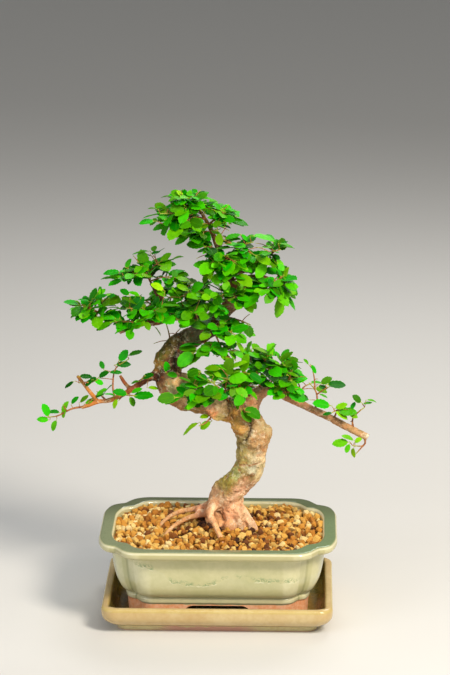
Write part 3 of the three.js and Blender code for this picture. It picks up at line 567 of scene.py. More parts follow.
woodShape = {
    "voxel": 0.73, "relaxRounds": 4,
    # how each limb is lofted: sides, step from ring to ring, ripple, and how square it is
    "trunkLook": (40, 2.2, 0.07, 0.0), "limbLook": (22, 2.2, 0.07, 0.0), "knuckleLook": (28, 1.5, 0.03, 0.2),
    # centre points with the radius of the limb there: x, y, z, radius
    "trunk": [
        (4, 8, 66, 14), (3.2, 7, 78, 14.2), (3.4, 5, 90, 14), (5.6, 3, 99, 12.8), (13, 1, 110, 12),
        (22, 0, 120, 12.2), (27, -1, 132, 12), (28.6, -3, 146, 12.2), (28, -4, 157, 13.8),
        (23.5, -5, 168, 13.6), (15, -7, 178, 10.8), (4, -9, 181, 10.4), (-9, -9, 185, 9.8),
        (-21, -8, 188, 10.4), (-32, -6, 192, 11.5), (-40, -3, 200, 11.6), (-43, 0, 210, 11),
        (-42, 2, 220, 10.8), (-37, 3, 229, 10), (-29, 3, 236, 9.2), (-20, 4, 240, 8.2), (-10, 5, 245, 7.4),
        (-1, 6, 253, 6.6), (7, 6, 264, 5.8), (11, 5, 275, 5.2), (10, 4, 287, 3.7), (8, 3, 298, 3),
        (3, 2, 309, 2.6), (-2, 1, 321, 2.2), (-6, 0, 332, 1.9), (-11, 0, 342, 1.6), (-17, 0, 351, 1.4),
        (-22, 0, 357, 1.2)],
    "branches": [
        [(23, -3, 169, 8), (27, 0, 181, 7), (32, 3, 190, 6), (40, 5, 194, 5), (48, 5, 193, 4.2),
         (56, 4, 189, 3.6), (66, 2, 184, 3.3), (79, 0, 178, 3.2), (95, -2, 171, 3.1), (114, -4, 161, 3),
         (126, -5, 155, 3)],
        [(-43, 0, 207, 6), (-57, -1, 206, 3.6), (-64, -2, 202, 3), (-71, -3, 197, 2.6),
         (-81, -4, 191, 2.2), (-93, -5, 186, 2), (-102, -6, 185, 1.8), (-116, -7, 180, 1.6)],
        [(-11, 5, 250, 5), (-23, 2, 257, 4), (-38, -3, 259, 3.6), (-52, -8, 256, 3.2), (-66, -12, 255, 3),
         (-83, -16, 250, 3)],
        [(-38, -3, 259, 2.6), (-46, -2, 269, 2.2), (-52, 0, 279, 2), (-57, 1, 287, 1.6)],
        [(-74, -14, 252, 2.2), (-88, -14, 259, 1.6), (-99, -14, 264, 1.4)],
        [(10, 3, 294, 2.8), (21, 0, 301, 2.2), (31, -3, 307, 1.8), (42, -6, 315, 1.3)],
        [(10, 4, 283, 3.2), (22, -4, 291, 2.6), (34, -8, 295, 2.1), (44, -11, 293, 1.6)],
        [(-74, -3, 195, 2), (-79, -4, 201, 1.6), (-83, -5, 208, 1.3)],
        [(-102, -6, 185, 1.8), (-110, -7, 196, 1.6), (-119, -7, 208, 1.5)]],
    # the sawn knuckle in front, nearly square
    "knuckle": [(3, -8, 181, 8.6), (1, -17, 184, 9), (1, -25, 185, 8.6)],
    "roots": [
        [(-3, 7, 92, 5), (-13, 8, 88.5, 3), (-23, 9, 85.5, 2.2), (-34, 12, 82, 2), (-42, 12, 78, 1.9),
         (-49, 10, 72.5, 1.8), (-52, 9, 67, 1.7)],
        [(-4, 1, 88, 5), (-13, 1, 84.5, 3), (-20, 0, 82.5, 2.3), (-27, -2, 81, 2.1), (-37, -7, 76.5, 1.9),
         (-44, -12, 71, 1.8), (-46, -14, 67, 1.7)],
        [(-2, -3, 96, 6.4), (-7, -9, 91.5, 3.8), (-7, -15, 88, 2.9), (-4.4, -20, 85, 2.6),
         (-1, -27, 80, 2.4), (3, -33, 73, 2.2), (5, -36, 66, 2)],
        [(11, 4, 98, 4.6), (17, 6, 90, 3.4), (22, 8, 83, 3.2), (26, 9, 76, 3), (28, 10, 67, 3)],
        [(7.5, 2, 100, 9), (10.5, 0, 90, 9.8), (14.5, -2, 80, 9.8), (16.5, -3, 68, 9.4)],
        [(11, 0, 94, 7), (15.5, -8, 88, 4.4), (18, -11, 80, 3.6), (19, -12, 70, 3.2)],
        [(12, 2, 99, 4), (17, -3, 92, 2.8), (22, -6, 85, 2.4), (26, -8, 79, 2.3), (28, -8, 69, 2.2)],
        [(15, 3, 97, 3.2), (20.5, -1, 90, 2.2), (26, -4, 83, 2), (30.5, -6, 77, 1.9), (33, -6, 67, 1.8)],
        [(10, 12, 92, 7), (15, 20, 84, 5), (20, 28, 76, 4), (23, 34, 68, 3.2)],
        [(0, 12, 92, 7), (-8, 21, 84, 4.6), (-15, 29, 76, 3.8), (-19, 34, 68, 3)]],
    # burls, scars and collars: x, y, z, radius
    "knobs": [
        (39, -6, 159, 6), (20, -14, 166, 6), (33, 4, 150, 7), (-31, 2, 199, 9), (-50, -1, 208, 6.5),
        (-48, 3, 222, 6), (12, 6, 268, 5.2), (13, 10, 94, 8), (10, -11, 77, 5.6), (-17, 4, 86, 3.6)],
    # grooves and stains on the front, and painted shade in hollows and recesses: points in x and z, half
    # width, depth, colour and its share
    "marks": [
        ([(26.6, 172), (26, 165), (24, 159), (21, 154)], 1.5, 2.6, "#2e1d08", 0.9),
        ([(26.6, 169), (30, 171), (34, 175)], 0.8, 1.0, "#6f4c20", 0.7),
        ([(16, 160), (17, 152), (16, 146)], 1.0, 0.9, "#4f3c14", 0.7),
        ([(15, 132), (25, 133), (33.5, 135)], 0.8, 0.5, "#a85826", 0.75),
        ([(18, 128), (22, 122), (27, 118)], 0.7, 0.6, "#7c5a26", 0.6),
        ([(24, 128), (23, 121), (18, 116)], 0.6, 0.5, "#8a6a34", 0.5),
        ([(4, 95), (2, 90), (4, 87)], 0.9, 1.2, "#a06c44", 0.6),
        ([(6, 93), (8.5, 90)], 0.7, 1.0, "#7c5030", 0.6),
        ([(0, 88), (2, 84.5), (4, 82)], 1.1, 1.6, "#54301a", 0.75),
        ([(13, 92), (15, 85), (21, 82), (25, 76)], 0.8, 0.9, "#bd7f4c", 0.6),
        ([(22, 97), (25, 88), (29, 80)], 0.6, 1.0, "#a9764a", 0.5),
        ([(18, 96), (20, 88), (21, 83)], 0.5, 0.6, "#a9764a", 0.4),
        ([(2, 104), (9, 107), (17, 106)], 0.6, 0.5, "#a87a52", 0.4),
        ([(-3, 100), (4, 101), (10, 99)], 0.6, 0.5, "#a87a52", 0.4),
        ([(20, 112), (25, 109)], 0.6, 0.5, "#a87a52", 0.4),
        ([(-2, 196), (4, 196.5)], 1.4, 2.5, "#2a1809", 0.9),
        ([(9.5, 190), (10, 176)], 1.1, 1.6, "#4e3812", 0.8),
        ([(-7, 178), (0, 177.5), (8, 178.5)], 0.7, 0.9, "#8f7a34", 0.6),
        ([(-33, 238), (-35, 228), (-37, 219)], 4.2, 2.4, "#221404", 0.85),
        ([(-27, 240), (-30, 233)], 2.4, 1.2, "#33200a", 0.7),
        ([(-44, 214), (-50, 211), (-52, 206)], 2.6, 1.6, "#1e1106", 0.8),
        ([(-36, 213), (-31, 208)], 1.0, 1.4, "#2c1a08", 0.7),
        ([(14, 195), (16, 188)], 2.0, 2.0, "#1f1206", 0.85)],
}


def smoothCurve(points, share):
    # uniform Catmull-Rom through the points, share from 0 to 1
    points = np.asarray(points, float)
    place = share * (len(points) - 1)
    i = min(int(place), len(points) - 2)
    t = place - i
    p1, p2 = points[i], points[i + 1]
    p0 = points[i - 1] if i > 0 else 2 * p1 - p2
    p3 = points[i + 2] if i + 2 < len(points) else 2 * p2 - p1
    square, cube = 2 * p0 - 5 * p1 + 4 * p2 - p3, 3 * p1 - p0 - 3 * p2 + p3
    return 0.5 * (2 * p1 + (p2 - p0) * t + square * t * t + cube * t ** 3)


def curveTangent(points, share):
    ahead, behind = min(share + 0.004, 1.0), max(share - 0.004, 0.0)
    d = smoothCurve(points, ahead)[:3] - smoothCurve(points, behind)[:3]
    return d / np.linalg.norm(d)


def addLimb(bm, route, samples, sides, step, ripple, square):
    # a lumpy tube along the route, closed at both ends; square pulls its section out to four corners
    route = np.array(route, float)
    length = np.linalg.norm(np.diff(route[:, :3], axis=0), axis=1).sum()
    rows = max(3, round(length / step))
    side = np.array([0, 1, 0.01])
    rings = []
    for row in range(rows + 1):
        share = row / rows
        x, y, z, radius = smoothCurve(route, share)
        along = curveTangent(route, share)
        side = side - along * side.dot(along)
        side /= np.linalg.norm(side)
        across = np.cross(side, along)
        walked = length * share
        middle = np.array([x, y, z])
        samples.append((middle, radius, walked, along))
        ring = []
        for a in (2 * math.pi * k / sides for k in range(sides)):
            lumps = (0.5 * math.sin(2 * a + walked * 0.11) + 0.4 * math.sin(3 * a - walked * 0.17)
                     + 0.35 * math.sin(a + walked * 0.3))
            reach = radius * (1 + ripple * lumps + square * math.sin(2 * a) ** 2)
            ring.append(bm.verts.new((middle + reach * (math.sin(a) * side + math.cos(a) * across)) * mm))
        rings.append(ring)
    for a, b in zip(rings, rings[1:]):
        for k in range(sides):
            j = (k + 1) % sides
            bm.faces.new((a[k], b[k], b[j], a[j]))
    bm.faces.new(rings[0])
    bm.faces.new(rings[-1][::-1])


def relax(mesh, rounds, strength=0.5):
    # neighbours' mean, a few times over, to take the steps of the voxels away
    spots = readPoints(mesh, "co")
    count = len(spots)
    pairs = np.zeros(len(mesh.edges) * 2, int)
    mesh.edges.foreach_get("vertices", pairs)
    a, b = pairs.reshape(-1, 2).T
    links = (np.bincount(a, minlength=count) + np.bincount(b, minlength=count)).clip(1)[:, None]
    for _ in range(rounds):
        total = [np.bincount(a, spots[b, i], count) + np.bincount(b, spots[a, i], count) for i in range(3)]
        spots += (np.stack(total, axis=1) / links - spots) * strength
    mesh.vertices.foreach_set("co", spots.ravel())
    mesh.update()


# main colours of the bark, with painted highlights and painted shade among them: x, z, reach, colour
barkZones = [
    # roots and foot: (-17, 88) and (-9, 90) are painted shade on the left of the foot, (-3, 92), (21, 100)
    # and (26, 88) painted highlights
    (-46, 76, 12, "#d09e6a"), (-30, 84, 8, "#c4905e"), (-17, 88, 6, "#b07a58"), (-9, 90, 5, "#b87c50"),
    (-6, 85, 5, "#d9a474"), (-2, 78, 5, "#dea46a"), (3, 72, 6, "#e2ac7c"), (-3, 92, 4, "#ecc49a"),
    (9, 77, 5, "#d09868"), (20, 82, 6, "#dcae82"), (26, 88, 4, "#e4c298"), (33, 78, 6, "#dcb28c"),
    (10, 90, 6, "#dba074"), (17, 95, 6, "#d6a67c"), (21, 100, 4, "#e4cea0"), (0, 99, 9, "#b88c64"),
    (12, 101, 7, "#d2a47e"), (6, 110, 6, "#94803e"), (19, 110, 6, "#d2a480"),
    # the bole
    (10, 117, 6, "#8c7e30"), (22, 117, 5, "#b48a64"), (16, 123, 4, "#949a5a"), (22, 125, 5, "#93824a"),
    (28.5, 128, 4, "#bdb99a"), (36, 126, 5, "#d8c28e"), (31, 138, 5, "#bfae86"), (20, 139, 8, "#a3914f"),
    (36, 141, 4, "#cfac7e"), (18, 152, 7, "#a8965a"), (31, 151, 8, "#ad8858"), (37, 148, 5, "#b58a5c"),
    (34, 158, 5, "#a87e50"), (29, 163, 4, "#b39464"), (39, 164, 4, "#a89064"), (14, 168, 5, "#cc9c4c"),
    (19, 172, 5, "#a5783c"), (17, 161, 3, "#8a5a26"), (12, 176, 4, "#8f6a2c"), (29, 177, 6, "#98784a"),
    # knuckle, elbow and curve: (-48, 219) and (-38, 238) are painted highlights along the curve
    (-5, 190, 4, "#d4a87e"), (-5, 181, 3, "#df9462"), (2, 190, 5, "#c2a074"), (2, 178, 3, "#ccae68"),
    (8, 184, 3, "#a78450"), (-20, 186, 8, "#8a6a40"), (-37, 185, 6, "#9a663e"), (-30, 190, 4, "#c39a6a"),
    (-48, 196, 6, "#8c6036"), (-40, 199, 5, "#83784c"), (-31, 203, 5, "#c39c64"), (-29, 197, 3, "#94701c"),
    (-54, 216, 4, "#ad8034"), (-51, 227, 5, "#5c5e0c"), (-44, 238, 5, "#53540c"), (-36, 245, 5, "#6c6114"),
    (-42, 229, 3, "#74661f"), (-38, 238, 3, "#8f7634"), (-48, 219, 3, "#a4842c"), (-40, 221, 4, "#5a380f"),
    (-25, 241, 6, "#857a58"), (-17, 246, 6, "#8c7f60"), (-8, 246, 8, "#7d5c34"),
    # limbs and tips
    (8, 268, 10, "#7e5636"), (12, 268, 5, "#c09070"), (5, 300, 20, "#84502c"), (-12, 345, 16, "#96602f"),
    (34, 190, 9, "#b88660"), (44, 193, 8, "#a4765a"), (70, 182, 16, "#a0704c"), (100, 168, 18, "#a5784e"),
    (120, 158, 8, "#b28a5c"), (127, 155, 3.5, "#efe6cf"), (-62, 202, 9, "#5a2a14"),
    (-76, 197, 8, "#8c4422"), (-95, 186, 14, "#a8652a"), (-112, 196, 9, "#b8742e"),
    (-45, 258, 20, "#74482c"), (-84, 251, 4, "#b8866a")]


def paintZones(spots, zones):
    # the colour that the zones give at each spot, nearer ones stronger
    total, weight = np.zeros((len(spots), 3)), np.full(len(spots), 1e-12)
    for x, z, reach, colour in zones:
        share = np.exp(-((spots[:, 0] - x) ** 2 + (spots[:, 2] - z) ** 2) / (0.8 * reach) ** 2)
        total += share[:, None] * np.array(hexColour(colour)[:3])
        weight += share
    return total / weight[:, None]


def nearLine(spots, line):
    # distance of each spot from a line of points, seen from the front
    flat = spots[:, [0, 2]]
    nearest = np.full(len(spots), 1e9)
    for start, end in zip(np.array(line, float), np.array(line[1:], float)):
        step = end - start
        share = np.clip((flat - start) @ step / (step @ step), 0, 1)
        nearest = np.minimum(nearest, np.linalg.norm(flat - start - share[:, None] * step, axis=1))
    return nearest


def rampUp(low, high, value):
    t = np.clip((value - low) / (high - low), 0, 1)
    return t * t * (3 - 2 * t)


# relief of the bark: size of each feature across, along where that differs, and how far it stands out
barkShape = {
    "fullRadius": 10, "lumps": (14, 1.3), "knots": (5, 0.8), "plates": (6.5, 0.34), "wrinkles": (9, 1.7, 0.3),
    "furrows": (2.6, 11, 0.3), "grain": (1.5, 0.16), "burlPlace": (35, 154), "burlSpread": 110,
    "burl": (2.4, 0.8, 1.1), "ridges": 5, "ridgeTop": 122, "ridgeFull": 96, "ridgeRise": 1.3,
}


def barkRelief(spot, sample):
    # how far the bark stands out at a spot, and how much of a raised old plate it is
    shape = barkShape
    middle, radius, walked, along = sample
    off = spot - Vector(middle)
    reach = walked + off.dot(Vector(along))

    def featured(key, offset=(0, 0, 0), rough=(1.0, 2.0, 3)):
        return noise.fractal(spot / shape[key][0] + Vector(offset), *rough)

    lumps, knots = featured("lumps"), featured("knots", (9, 2, 4), (0.9, 2.1, 3))
    plate = float(rampUp(-0.02, 0.06, featured("plates", (3, 7, 1), (0.8, 2.1, 4))))
    across, lengthways, wrinkleRise = shape["wrinkles"]
    wrinkle = noise.noise(Vector((off.x / across, off.y / across, reach / lengthways)))
    across, lengthways, furrowRise = shape["furrows"]
    furrow = 1 - abs(noise.noise(Vector((spot.x / across, spot.y / across, reach / lengthways + 4))))
    push = shape["lumps"][1] * lumps + shape["knots"][1] * knots + shape["plates"][1] * plate
    push = (push + wrinkleRise * wrinkle + furrowRise * furrow) * min(radius / shape["fullRadius"], 1.0)
    push += shape["grain"][1] * noise.noise(spot / shape["grain"][0]) * min(radius / 3, 1.0)
    # the burl on the right of the bole, on its front side
    x, z = shape["burlPlace"]
    burl = math.exp(-((spot.x - x) ** 2 + (spot.z - z) ** 2) / shape["burlSpread"]) * (spot.y < 2)
    push += burl * (shape["burl"][1] + shape["burl"][2] * featured("burl", rough=(0.9, 2.2, 3)))
    # ridges where the foot of the trunk runs out into its roots
    if spot.z < shape["ridgeTop"] and radius > 8:
        wave = math.sin(shape["ridges"] * math.atan2(off.y, off.x) + 0.05 * spot.z + 0.8 * lumps)
        push += shape["ridgeRise"] * float(rampUp(shape["ridgeTop"], shape["ridgeFull"], spot.z)) * wave
    return push, plate, lumps + knots


def rawWood(samples):
    # limbs and knobs joined in one skin, with the middle lines of the limbs kept in samples
    shape = woodShape
    wood = meshObject("elmWood", [])
    with editing(wood.data) as bm:
        addLimb(bm, shape["trunk"], samples, *shape["trunkLook"])
        for route in shape["branches"] + shape["roots"]:
            addLimb(bm, route, samples, *shape["limbLook"])
        addLimb(bm, shape["knuckle"], samples, *shape["knuckleLook"])
        for x, y, z, radius in shape["knobs"]:
            place = Matrix.Translation(Vector((x, y, z)) * mm)
            bmesh.ops.create_icosphere(bm, subdivisions=3, radius=radius * mm, matrix=place)
        bmesh.ops.recalc_face_normals(bm, faces=bm.faces)
    remesh = wood.modifiers.new("join", "REMESH")
    remesh.mode = "VOXEL"
    remesh.voxel_size = shape["voxel"] * mm
    return freezeModifiers(wood)


def makeTrunk():
    samples = []
    wood = rawWood(samples)
    mesh = wood.data
    relax(mesh, woodShape["relaxRounds"])
    nearest = kdtree.KDTree(len(samples))
    for i, sample in enumerate(samples):
        nearest.insert(Vector(sample[0]), i)
    nearest.balance()
    spots, normals = readPoints(mesh, "co") / mm, readPoints(mesh, "normal")
    relief = [barkRelief(Vector(spot), samples[nearest.find(Vector(spot))[1]]) for spot in spots]
    push, plate, height = np.array(relief).T
    # the zones' edges wander with the relief
    stray = spots + np.stack([2.4 * height, 0 * height, 2.0 * plate - 1.0], axis=1)
    tone = paintZones(stray, barkZones)
    # painted light and shade: darker from the elbow up, in the crown's shade, lighter on what stands out and
    # darker in the hollows between
    paintedLight = 1.2 - 0.42 * rampUp(192, 218, spots[:, 2]) + 0.3 * np.clip(height, -1, 1) + 0.1 * (plate - 0.5)
    tone *= paintedLight[:, None]
    front = rampUp(0.25, -0.1, normals[:, 1])
    # each mark sinks the bark and colours it: stains, and in the darkest hollows painted shade
    for line, width, depth, colour, share in woodShape["marks"]:
        near = np.exp(-(nearLine(stray, line) / width) ** 2) * front
        push -= depth * near
        tone += (share * near)[:, None] * (np.array(hexColour(colour)[:3]) - tone)
    mesh.vertices.foreach_set("co", ((spots + normals * push[:, None]) * mm).ravel())
    tint = mesh.color_attributes.new("barkTint", "FLOAT_COLOR", "POINT")
    colours = np.column_stack([np.clip(tone, 0, 1), np.ones(len(tone))])
    tint.data.foreach_set("color", colours.astype(np.float32).ravel())
    mesh.update()
    mesh.shade_smooth()
    return wood


def barkMaterial():
    # thin elm bark: mottled tan and pink, grey where old plates still sit, orange where flakes have dropped
    material, shader, spot = newMaterial("elmBark", IOR=1.4)

    def shifted(*offset):
        return addNode(spot.id_data, "ShaderNodeVectorMath", {0: spot, 1: offset}, operation="ADD").outputs[0]

    patches = noiseAt(spot, 5, 5, 0.66, 0.8)
    colour = blend(spread(patches, 0.53, 0.62, 0.0, 0.42), attributeOf(spot, "barkTint", "Color"), "#efe0bc")
    flakes = noiseAt(shifted(0.31, 0.12, 0.07), 4.2, 5, 0.62, 1.0)
    colour = blend(spread(flakes, 0.55, 0.62, 0.0, 0.42), colour, "#b5622a")
    # green film on everything but the foot
    lichen = spread(noiseAt(shifted(0.11, 0.42, 0.2), 6, 5, 0.62, 0.5), 0.54, 0.64, 0.0, 0.45)
    colour = blend(times(lichen, spread(splitUp(spot)["Z"], 0.095, 0.115)), colour, "#6f6a26")
    stains = noiseAt(shifted(0.2, 0.05, 0.33), 2.6, 4, 0.7, 0.8)
    colour = blend(spread(stains, 0.56, 0.68, 0.0, 0.55), colour, "#5b3a1c")
    pores = noiseAt(spot, 0.9, 3, 0.7)
    feed(shader, {
        "Base Color": blend(spread(pores, 0.57, 0.68, 0.0, 0.6), colour, "#4a2e16"),
        "Roughness": spread(patches, 0.3, 0.7, 0.8, 0.62),
        "Normal": bumpFrom(pores, 0.35, 0.7, bumpFrom(stains, 0.5, 0.7))})
    return material


wood = makeTrunk()
finishPiece(wood, barkMaterial(), "trunk")
print("wood:", len(wood.data.polygons), "faces")


# Soil: a dark bed with loose granules on it

soilShape = {
    "level": 70.6, "mound": 4.6, "moundSpread": 34, "moundX": 8, "moundY": 3, "unevenness": 0.9,
    "inset": 13.6, "cornerSize": 1.03, "rings": 22, "innermost": 0.04, "sharpEdge": 40,
    "granule": 6.2, "smallest": 0.6, "largest": 1.3, "spacing": 4.3, "layers": 3, "layerDepth": 2.4,
    "bedDepth": 4.6, "bedThickness": 12, "shapes": 7, "shapePoints": 19, "seed": 11,
}


def soilLevel(x, y):
    away = math.hypot(x - soilShape["moundX"], y - soilShape["moundY"]) / soilShape["moundSpread"]
    mound = soilShape["mound"] * math.exp(-away * away)
    return soilShape["level"] + mound + soilShape["unevenness"] * noise.noise(Vector((x / 22, y / 22, 5)))


def soilSheet(name):
    # concentric rings from the pot's wall to the middle, so that the edge follows the lobed plan
    outer = insetRing(potShape, soilShape["inset"], soilShape["cornerSize"])
    shares = np.linspace(1, soilShape["innermost"], soilShape["rings"])
    points = [(x * s * mm, y * s * mm, soilLevel(x * s, y * s) * mm) for s in shares for x, y in outer]
    faces = tubeFaces(len(shares), len(outer))
    return meshObject(name, points, faces[:-2] + faces[-1:])


def granuleShapes():
    # a few broken chunks, each the hull of some points, with flat faces and edges
    group = bpy.data.collections.new("granuleShapes")
    for n in range(soilShape["shapes"]):
        noise.seed_set(n + 1)
        shape = bpy.data.objects.new("granule", bpy.data.meshes.new("granule"))
        group.objects.link(shape)
        with editing(shape.data) as bm:
            for _ in range(soilShape["shapePoints"]):
                way = noise.random_unit_vector()
                bm.verts.new(Vector((way.x, way.y * 0.9, way.z * 0.8)) * 0.5)
            made = bmesh.ops.convex_hull(bm, input=bm.verts)
            spare = set(made["geom_interior"] + made["geom_unused"])
            inside = [v for v in spare if isinstance(v, bmesh.types.BMVert)]
            bmesh.ops.delete(bm, geom=inside, context="VERTS")
            bmesh.ops.recalc_face_normals(bm, faces=bm.faces)
    return group


def dropGroup(group):
    for shape in list(group.objects):
        bpy.data.objects.remove(shape)
    bpy.data.collections.remove(group)


def socketOf(group, name):
    # a modifier's input goes by its socket's identifier
    sockets = (s for s in group.interface.items_tree if s.item_type == "SOCKET" and s.in_out == "INPUT")
    return next(s.identifier for s in sockets if s.name == name)


def newNodeGroup(name, inputs):
    # the group, a function that adds a geometry node to it, its inputs, and the node for its result
    group = bpy.data.node_groups.new(name, "GeometryNodeTree")
    group.interface.new_socket("Geometry", in_out="INPUT", socket_type="NodeSocketGeometry")
    group.interface.new_socket("Geometry", in_out="OUTPUT", socket_type="NodeSocketGeometry")
    for label, kind in inputs.items():
        group.interface.new_socket(label, in_out="INPUT", socket_type="NodeSocket" + kind)

    def step(kind, inputs=None, **settings):
        return addNode(group, kind, inputs, **settings).outputs

    return group, step, step("NodeGroupInput"), addNode(group, "NodeGroupOutput")


def runNodes(obj, group, values):
    modifier = obj.modifiers.new(group.name, "NODES")
    modifier.node_group = group
    for label, value in values.items():
        modifier[socketOf(group, label)] = value
    return freezeModifiers(obj)


def granuleNodes():
    group, step, given, end = newNodeGroup("looseGranules", {
        "Shapes": "Collection", "Size": "Float", "Spacing": "Float", "Layer depth": "Float", "Seed": "Int",
        "Material": "Material"})

    def drawn(low, high, seed):
        return step("FunctionNodeRandomValue", {2: low, 3: high, "Seed": seed}, data_type="FLOAT")[1]

    def marked(geometry, name, value):
        return step("GeometryNodeStoreNamedAttribute", {"Geometry": geometry, "Name": name, "Value": value},
                    data_type="FLOAT", domain="INSTANCE")["Geometry"]

    joined = addNode(group, "GeometryNodeJoinGeometry")
    shapes = step("GeometryNodeCollectionInfo", {
        "Collection": given["Shapes"], "Separate Children": True, "Reset Children": True})
    for layer in range(soilShape["layers"]):
        seed = plus(given["Seed"], float(layer * 13))
        points = step("GeometryNodeDistributePointsOnFaces", {
            "Mesh": given["Geometry"], "Distance Min": given["Spacing"], "Density Max": 400000.0,
            "Seed": seed}, distribute_method="POISSON")
        rise = plus(times(given["Layer depth"], float(-layer)), drawn(-0.0007, 0.0007, seed))
        lift = step("ShaderNodeCombineXYZ", {"Z": rise})
        placed = step("GeometryNodeSetPosition", {"Geometry": points["Points"], "Offset": lift[0]})
        anyTurn = {0: (0.0, 0.0, 0.0), 1: (6.28, 6.28, 6.28), "Seed": seed}
        turn = step("FunctionNodeRandomValue", anyTurn, data_type="FLOAT_VECTOR")
        size = times(given["Size"], drawn(soilShape["smallest"], soilShape["largest"], seed))
        grains = step("GeometryNodeInstanceOnPoints", {
            "Points": placed["Geometry"], "Instance": shapes["Instances"], "Pick Instance": True,
            "Rotation": turn[0], "Scale": size})
        layered = marked(grains["Instances"], "layer", float(layer))
        group.links.new(marked(layered, "tint", drawn(0.0, 1.0, 5)), joined.inputs[0])
    real = step("GeometryNodeRealizeInstances", {"Geometry": joined.outputs[0]})
    done = step("GeometryNodeSetMaterial", {"Geometry": real[0], "Material": given["Material"]})
    feed(end, {0: done[0]})
    return group


def granuleMaterial():
    # baked clay and pumice: ochre lumps with cream, rust and brown ones among them, dull and dusty
    material, shader, spot = newMaterial("bakedClayGranules", Roughness=0.92)
    x, y, _ = splitUp(spot)
    # cream lumps gather at the front left and the back right; round the trunk they turn browner, partly
    # darker lumps and partly painted shade under the tree
    left = fade(x, -0.07, -0.02, 0.14)
    right = times(spread(x, 0.03, 0.07, 0.0, 0.14), spread(y, -0.01, 0.03))
    middle = spread(absolute(x), 0.0, 0.04, -0.08, 0.0)
    shifted = plus(plus(attributeOf(spot, "tint"), left), plus(right, middle))
    colour = colourRamp(shifted, [
        (0.0, "#2c1406"), (0.14, "#74400f"), (0.28, "#aa6a1a"), (0.48, "#c88a30"), (0.68, "#d6a244"),
        (0.83, "#dcb25c"), (0.94, "#e4c272"), (1.0, "#edd494")])
    grit = noiseAt(spot, 1.2, 3, 0.7)
    colour = blend(spread(grit, 0.45, 0.7, 0.0, 0.3), colour, "#9c5c20")
    # painted shade: the lower layers, down in the gaps between the top granules, darker brown
    colour = blend(spread(attributeOf(spot, "layer"), 0.0, 2.0, 0.0, 0.8), colour, "#4a2408")
    feed(shader, {"Base Color": colour, "Normal": bumpFrom(grit, 0.35, 0.8)})
    return material


def dustMaterial():
    # the fines between the granules, dark: their own colour and painted shade in the gaps
    material, shader, spot = newMaterial("clayDustAndGapShade", Roughness=0.95)
    fines = noiseAt(spot, 1.5, 4, 0.7)
    feed(shader, {"Base Color": blend(fines, "#2c1709", "#6b3d1a"), "Normal": bumpFrom(fines, 0.6)})
    return material


def makeSoil():
    loose = soilSheet("looseGranules")
    bed = soilSheet("soilBed")
    bed.data.transform(Matrix.Translation((0, 0, -soilShape["bedDepth"] * mm)))
    solid = bed.modifiers.new("depth", "SOLIDIFY")
    solid.thickness, solid.offset = soilShape["bedThickness"] * mm, -1
    freezeModifiers(bed)
    smoothShade(bed, soilShape["sharpEdge"])
    clay = granuleMaterial()
    chunks = granuleShapes()
    runNodes(loose, granuleNodes(), {
        "Shapes": chunks, "Size": soilShape["granule"] * mm, "Spacing": soilShape["spacing"] * mm,
        "Layer depth": soilShape["layerDepth"] * mm, "Seed": soilShape["seed"], "Material": clay})
    dropGroup(chunks)
    finishPiece(bed, dustMaterial(), "soil")
    finishPiece(loose, None, "soil")
    return loose


granules = makeSoil()
print("granules:", len(granules.data.polygons), "faces")


# Leafy shoots

leafShape = {
    "length": 16.5, "halfWidth": 4.65, "thickness": 0.4, "fold": 0.15, "droop": 0.13, "tooth": 0.055,
    "toothed": (0.2, 0.97), "lean": 0.5, "wave": 0.25, "sweep": 0.4,
    "variants": 4, "curls": (0.0, 0.5, -0.35, 0.9), "breadths": (1.0, 1.12, 0.86, 0.97),
    # rows from the stalk's root to the tip: share of the length, share of the half width
    "rows": [(0, 0.09), (0.11, 0.09), (0.16, 0.32), (0.23, 0.62), (0.31, 0.83), (0.4, 0.96), (0.49, 1.0),
             (0.58, 1.0), (0.67, 0.96), (0.76, 0.87), (0.84, 0.69), (0.91, 0.47), (0.96, 0.27),
             (1.0, 0.06)],
    # leaves beyond those of the solids: a second one at a place, and sprigs on the fuller shoots
    "pairShare": 0.6, "sprigs": 2, "sprigLeaves": 3, "sprigSize": 0.78,
    "sparse": ("mid_left_low", "centre_low_left", "left_back"),
    # a lone leaf whose foot is further than the gap from a twig gets a stalk: its radius at either end
    "stalk": (0.34, 0.272), "stalkGap": 0.8,
    # the least size of a leaf that shrinks to fit, and its distance from the bounds
    "smallest": 0.42, "margin": 0.6,
}
# radius at the root and at the tip of each kind of twig
twigShape = {
    "main": (1.0, 0.42), "fork": (0.75, 0.38), "sprig": (0.4, 0.28),
    "mainSteps": 3, "bow": 0.08, "step": 2.2, "sides": 6,
}
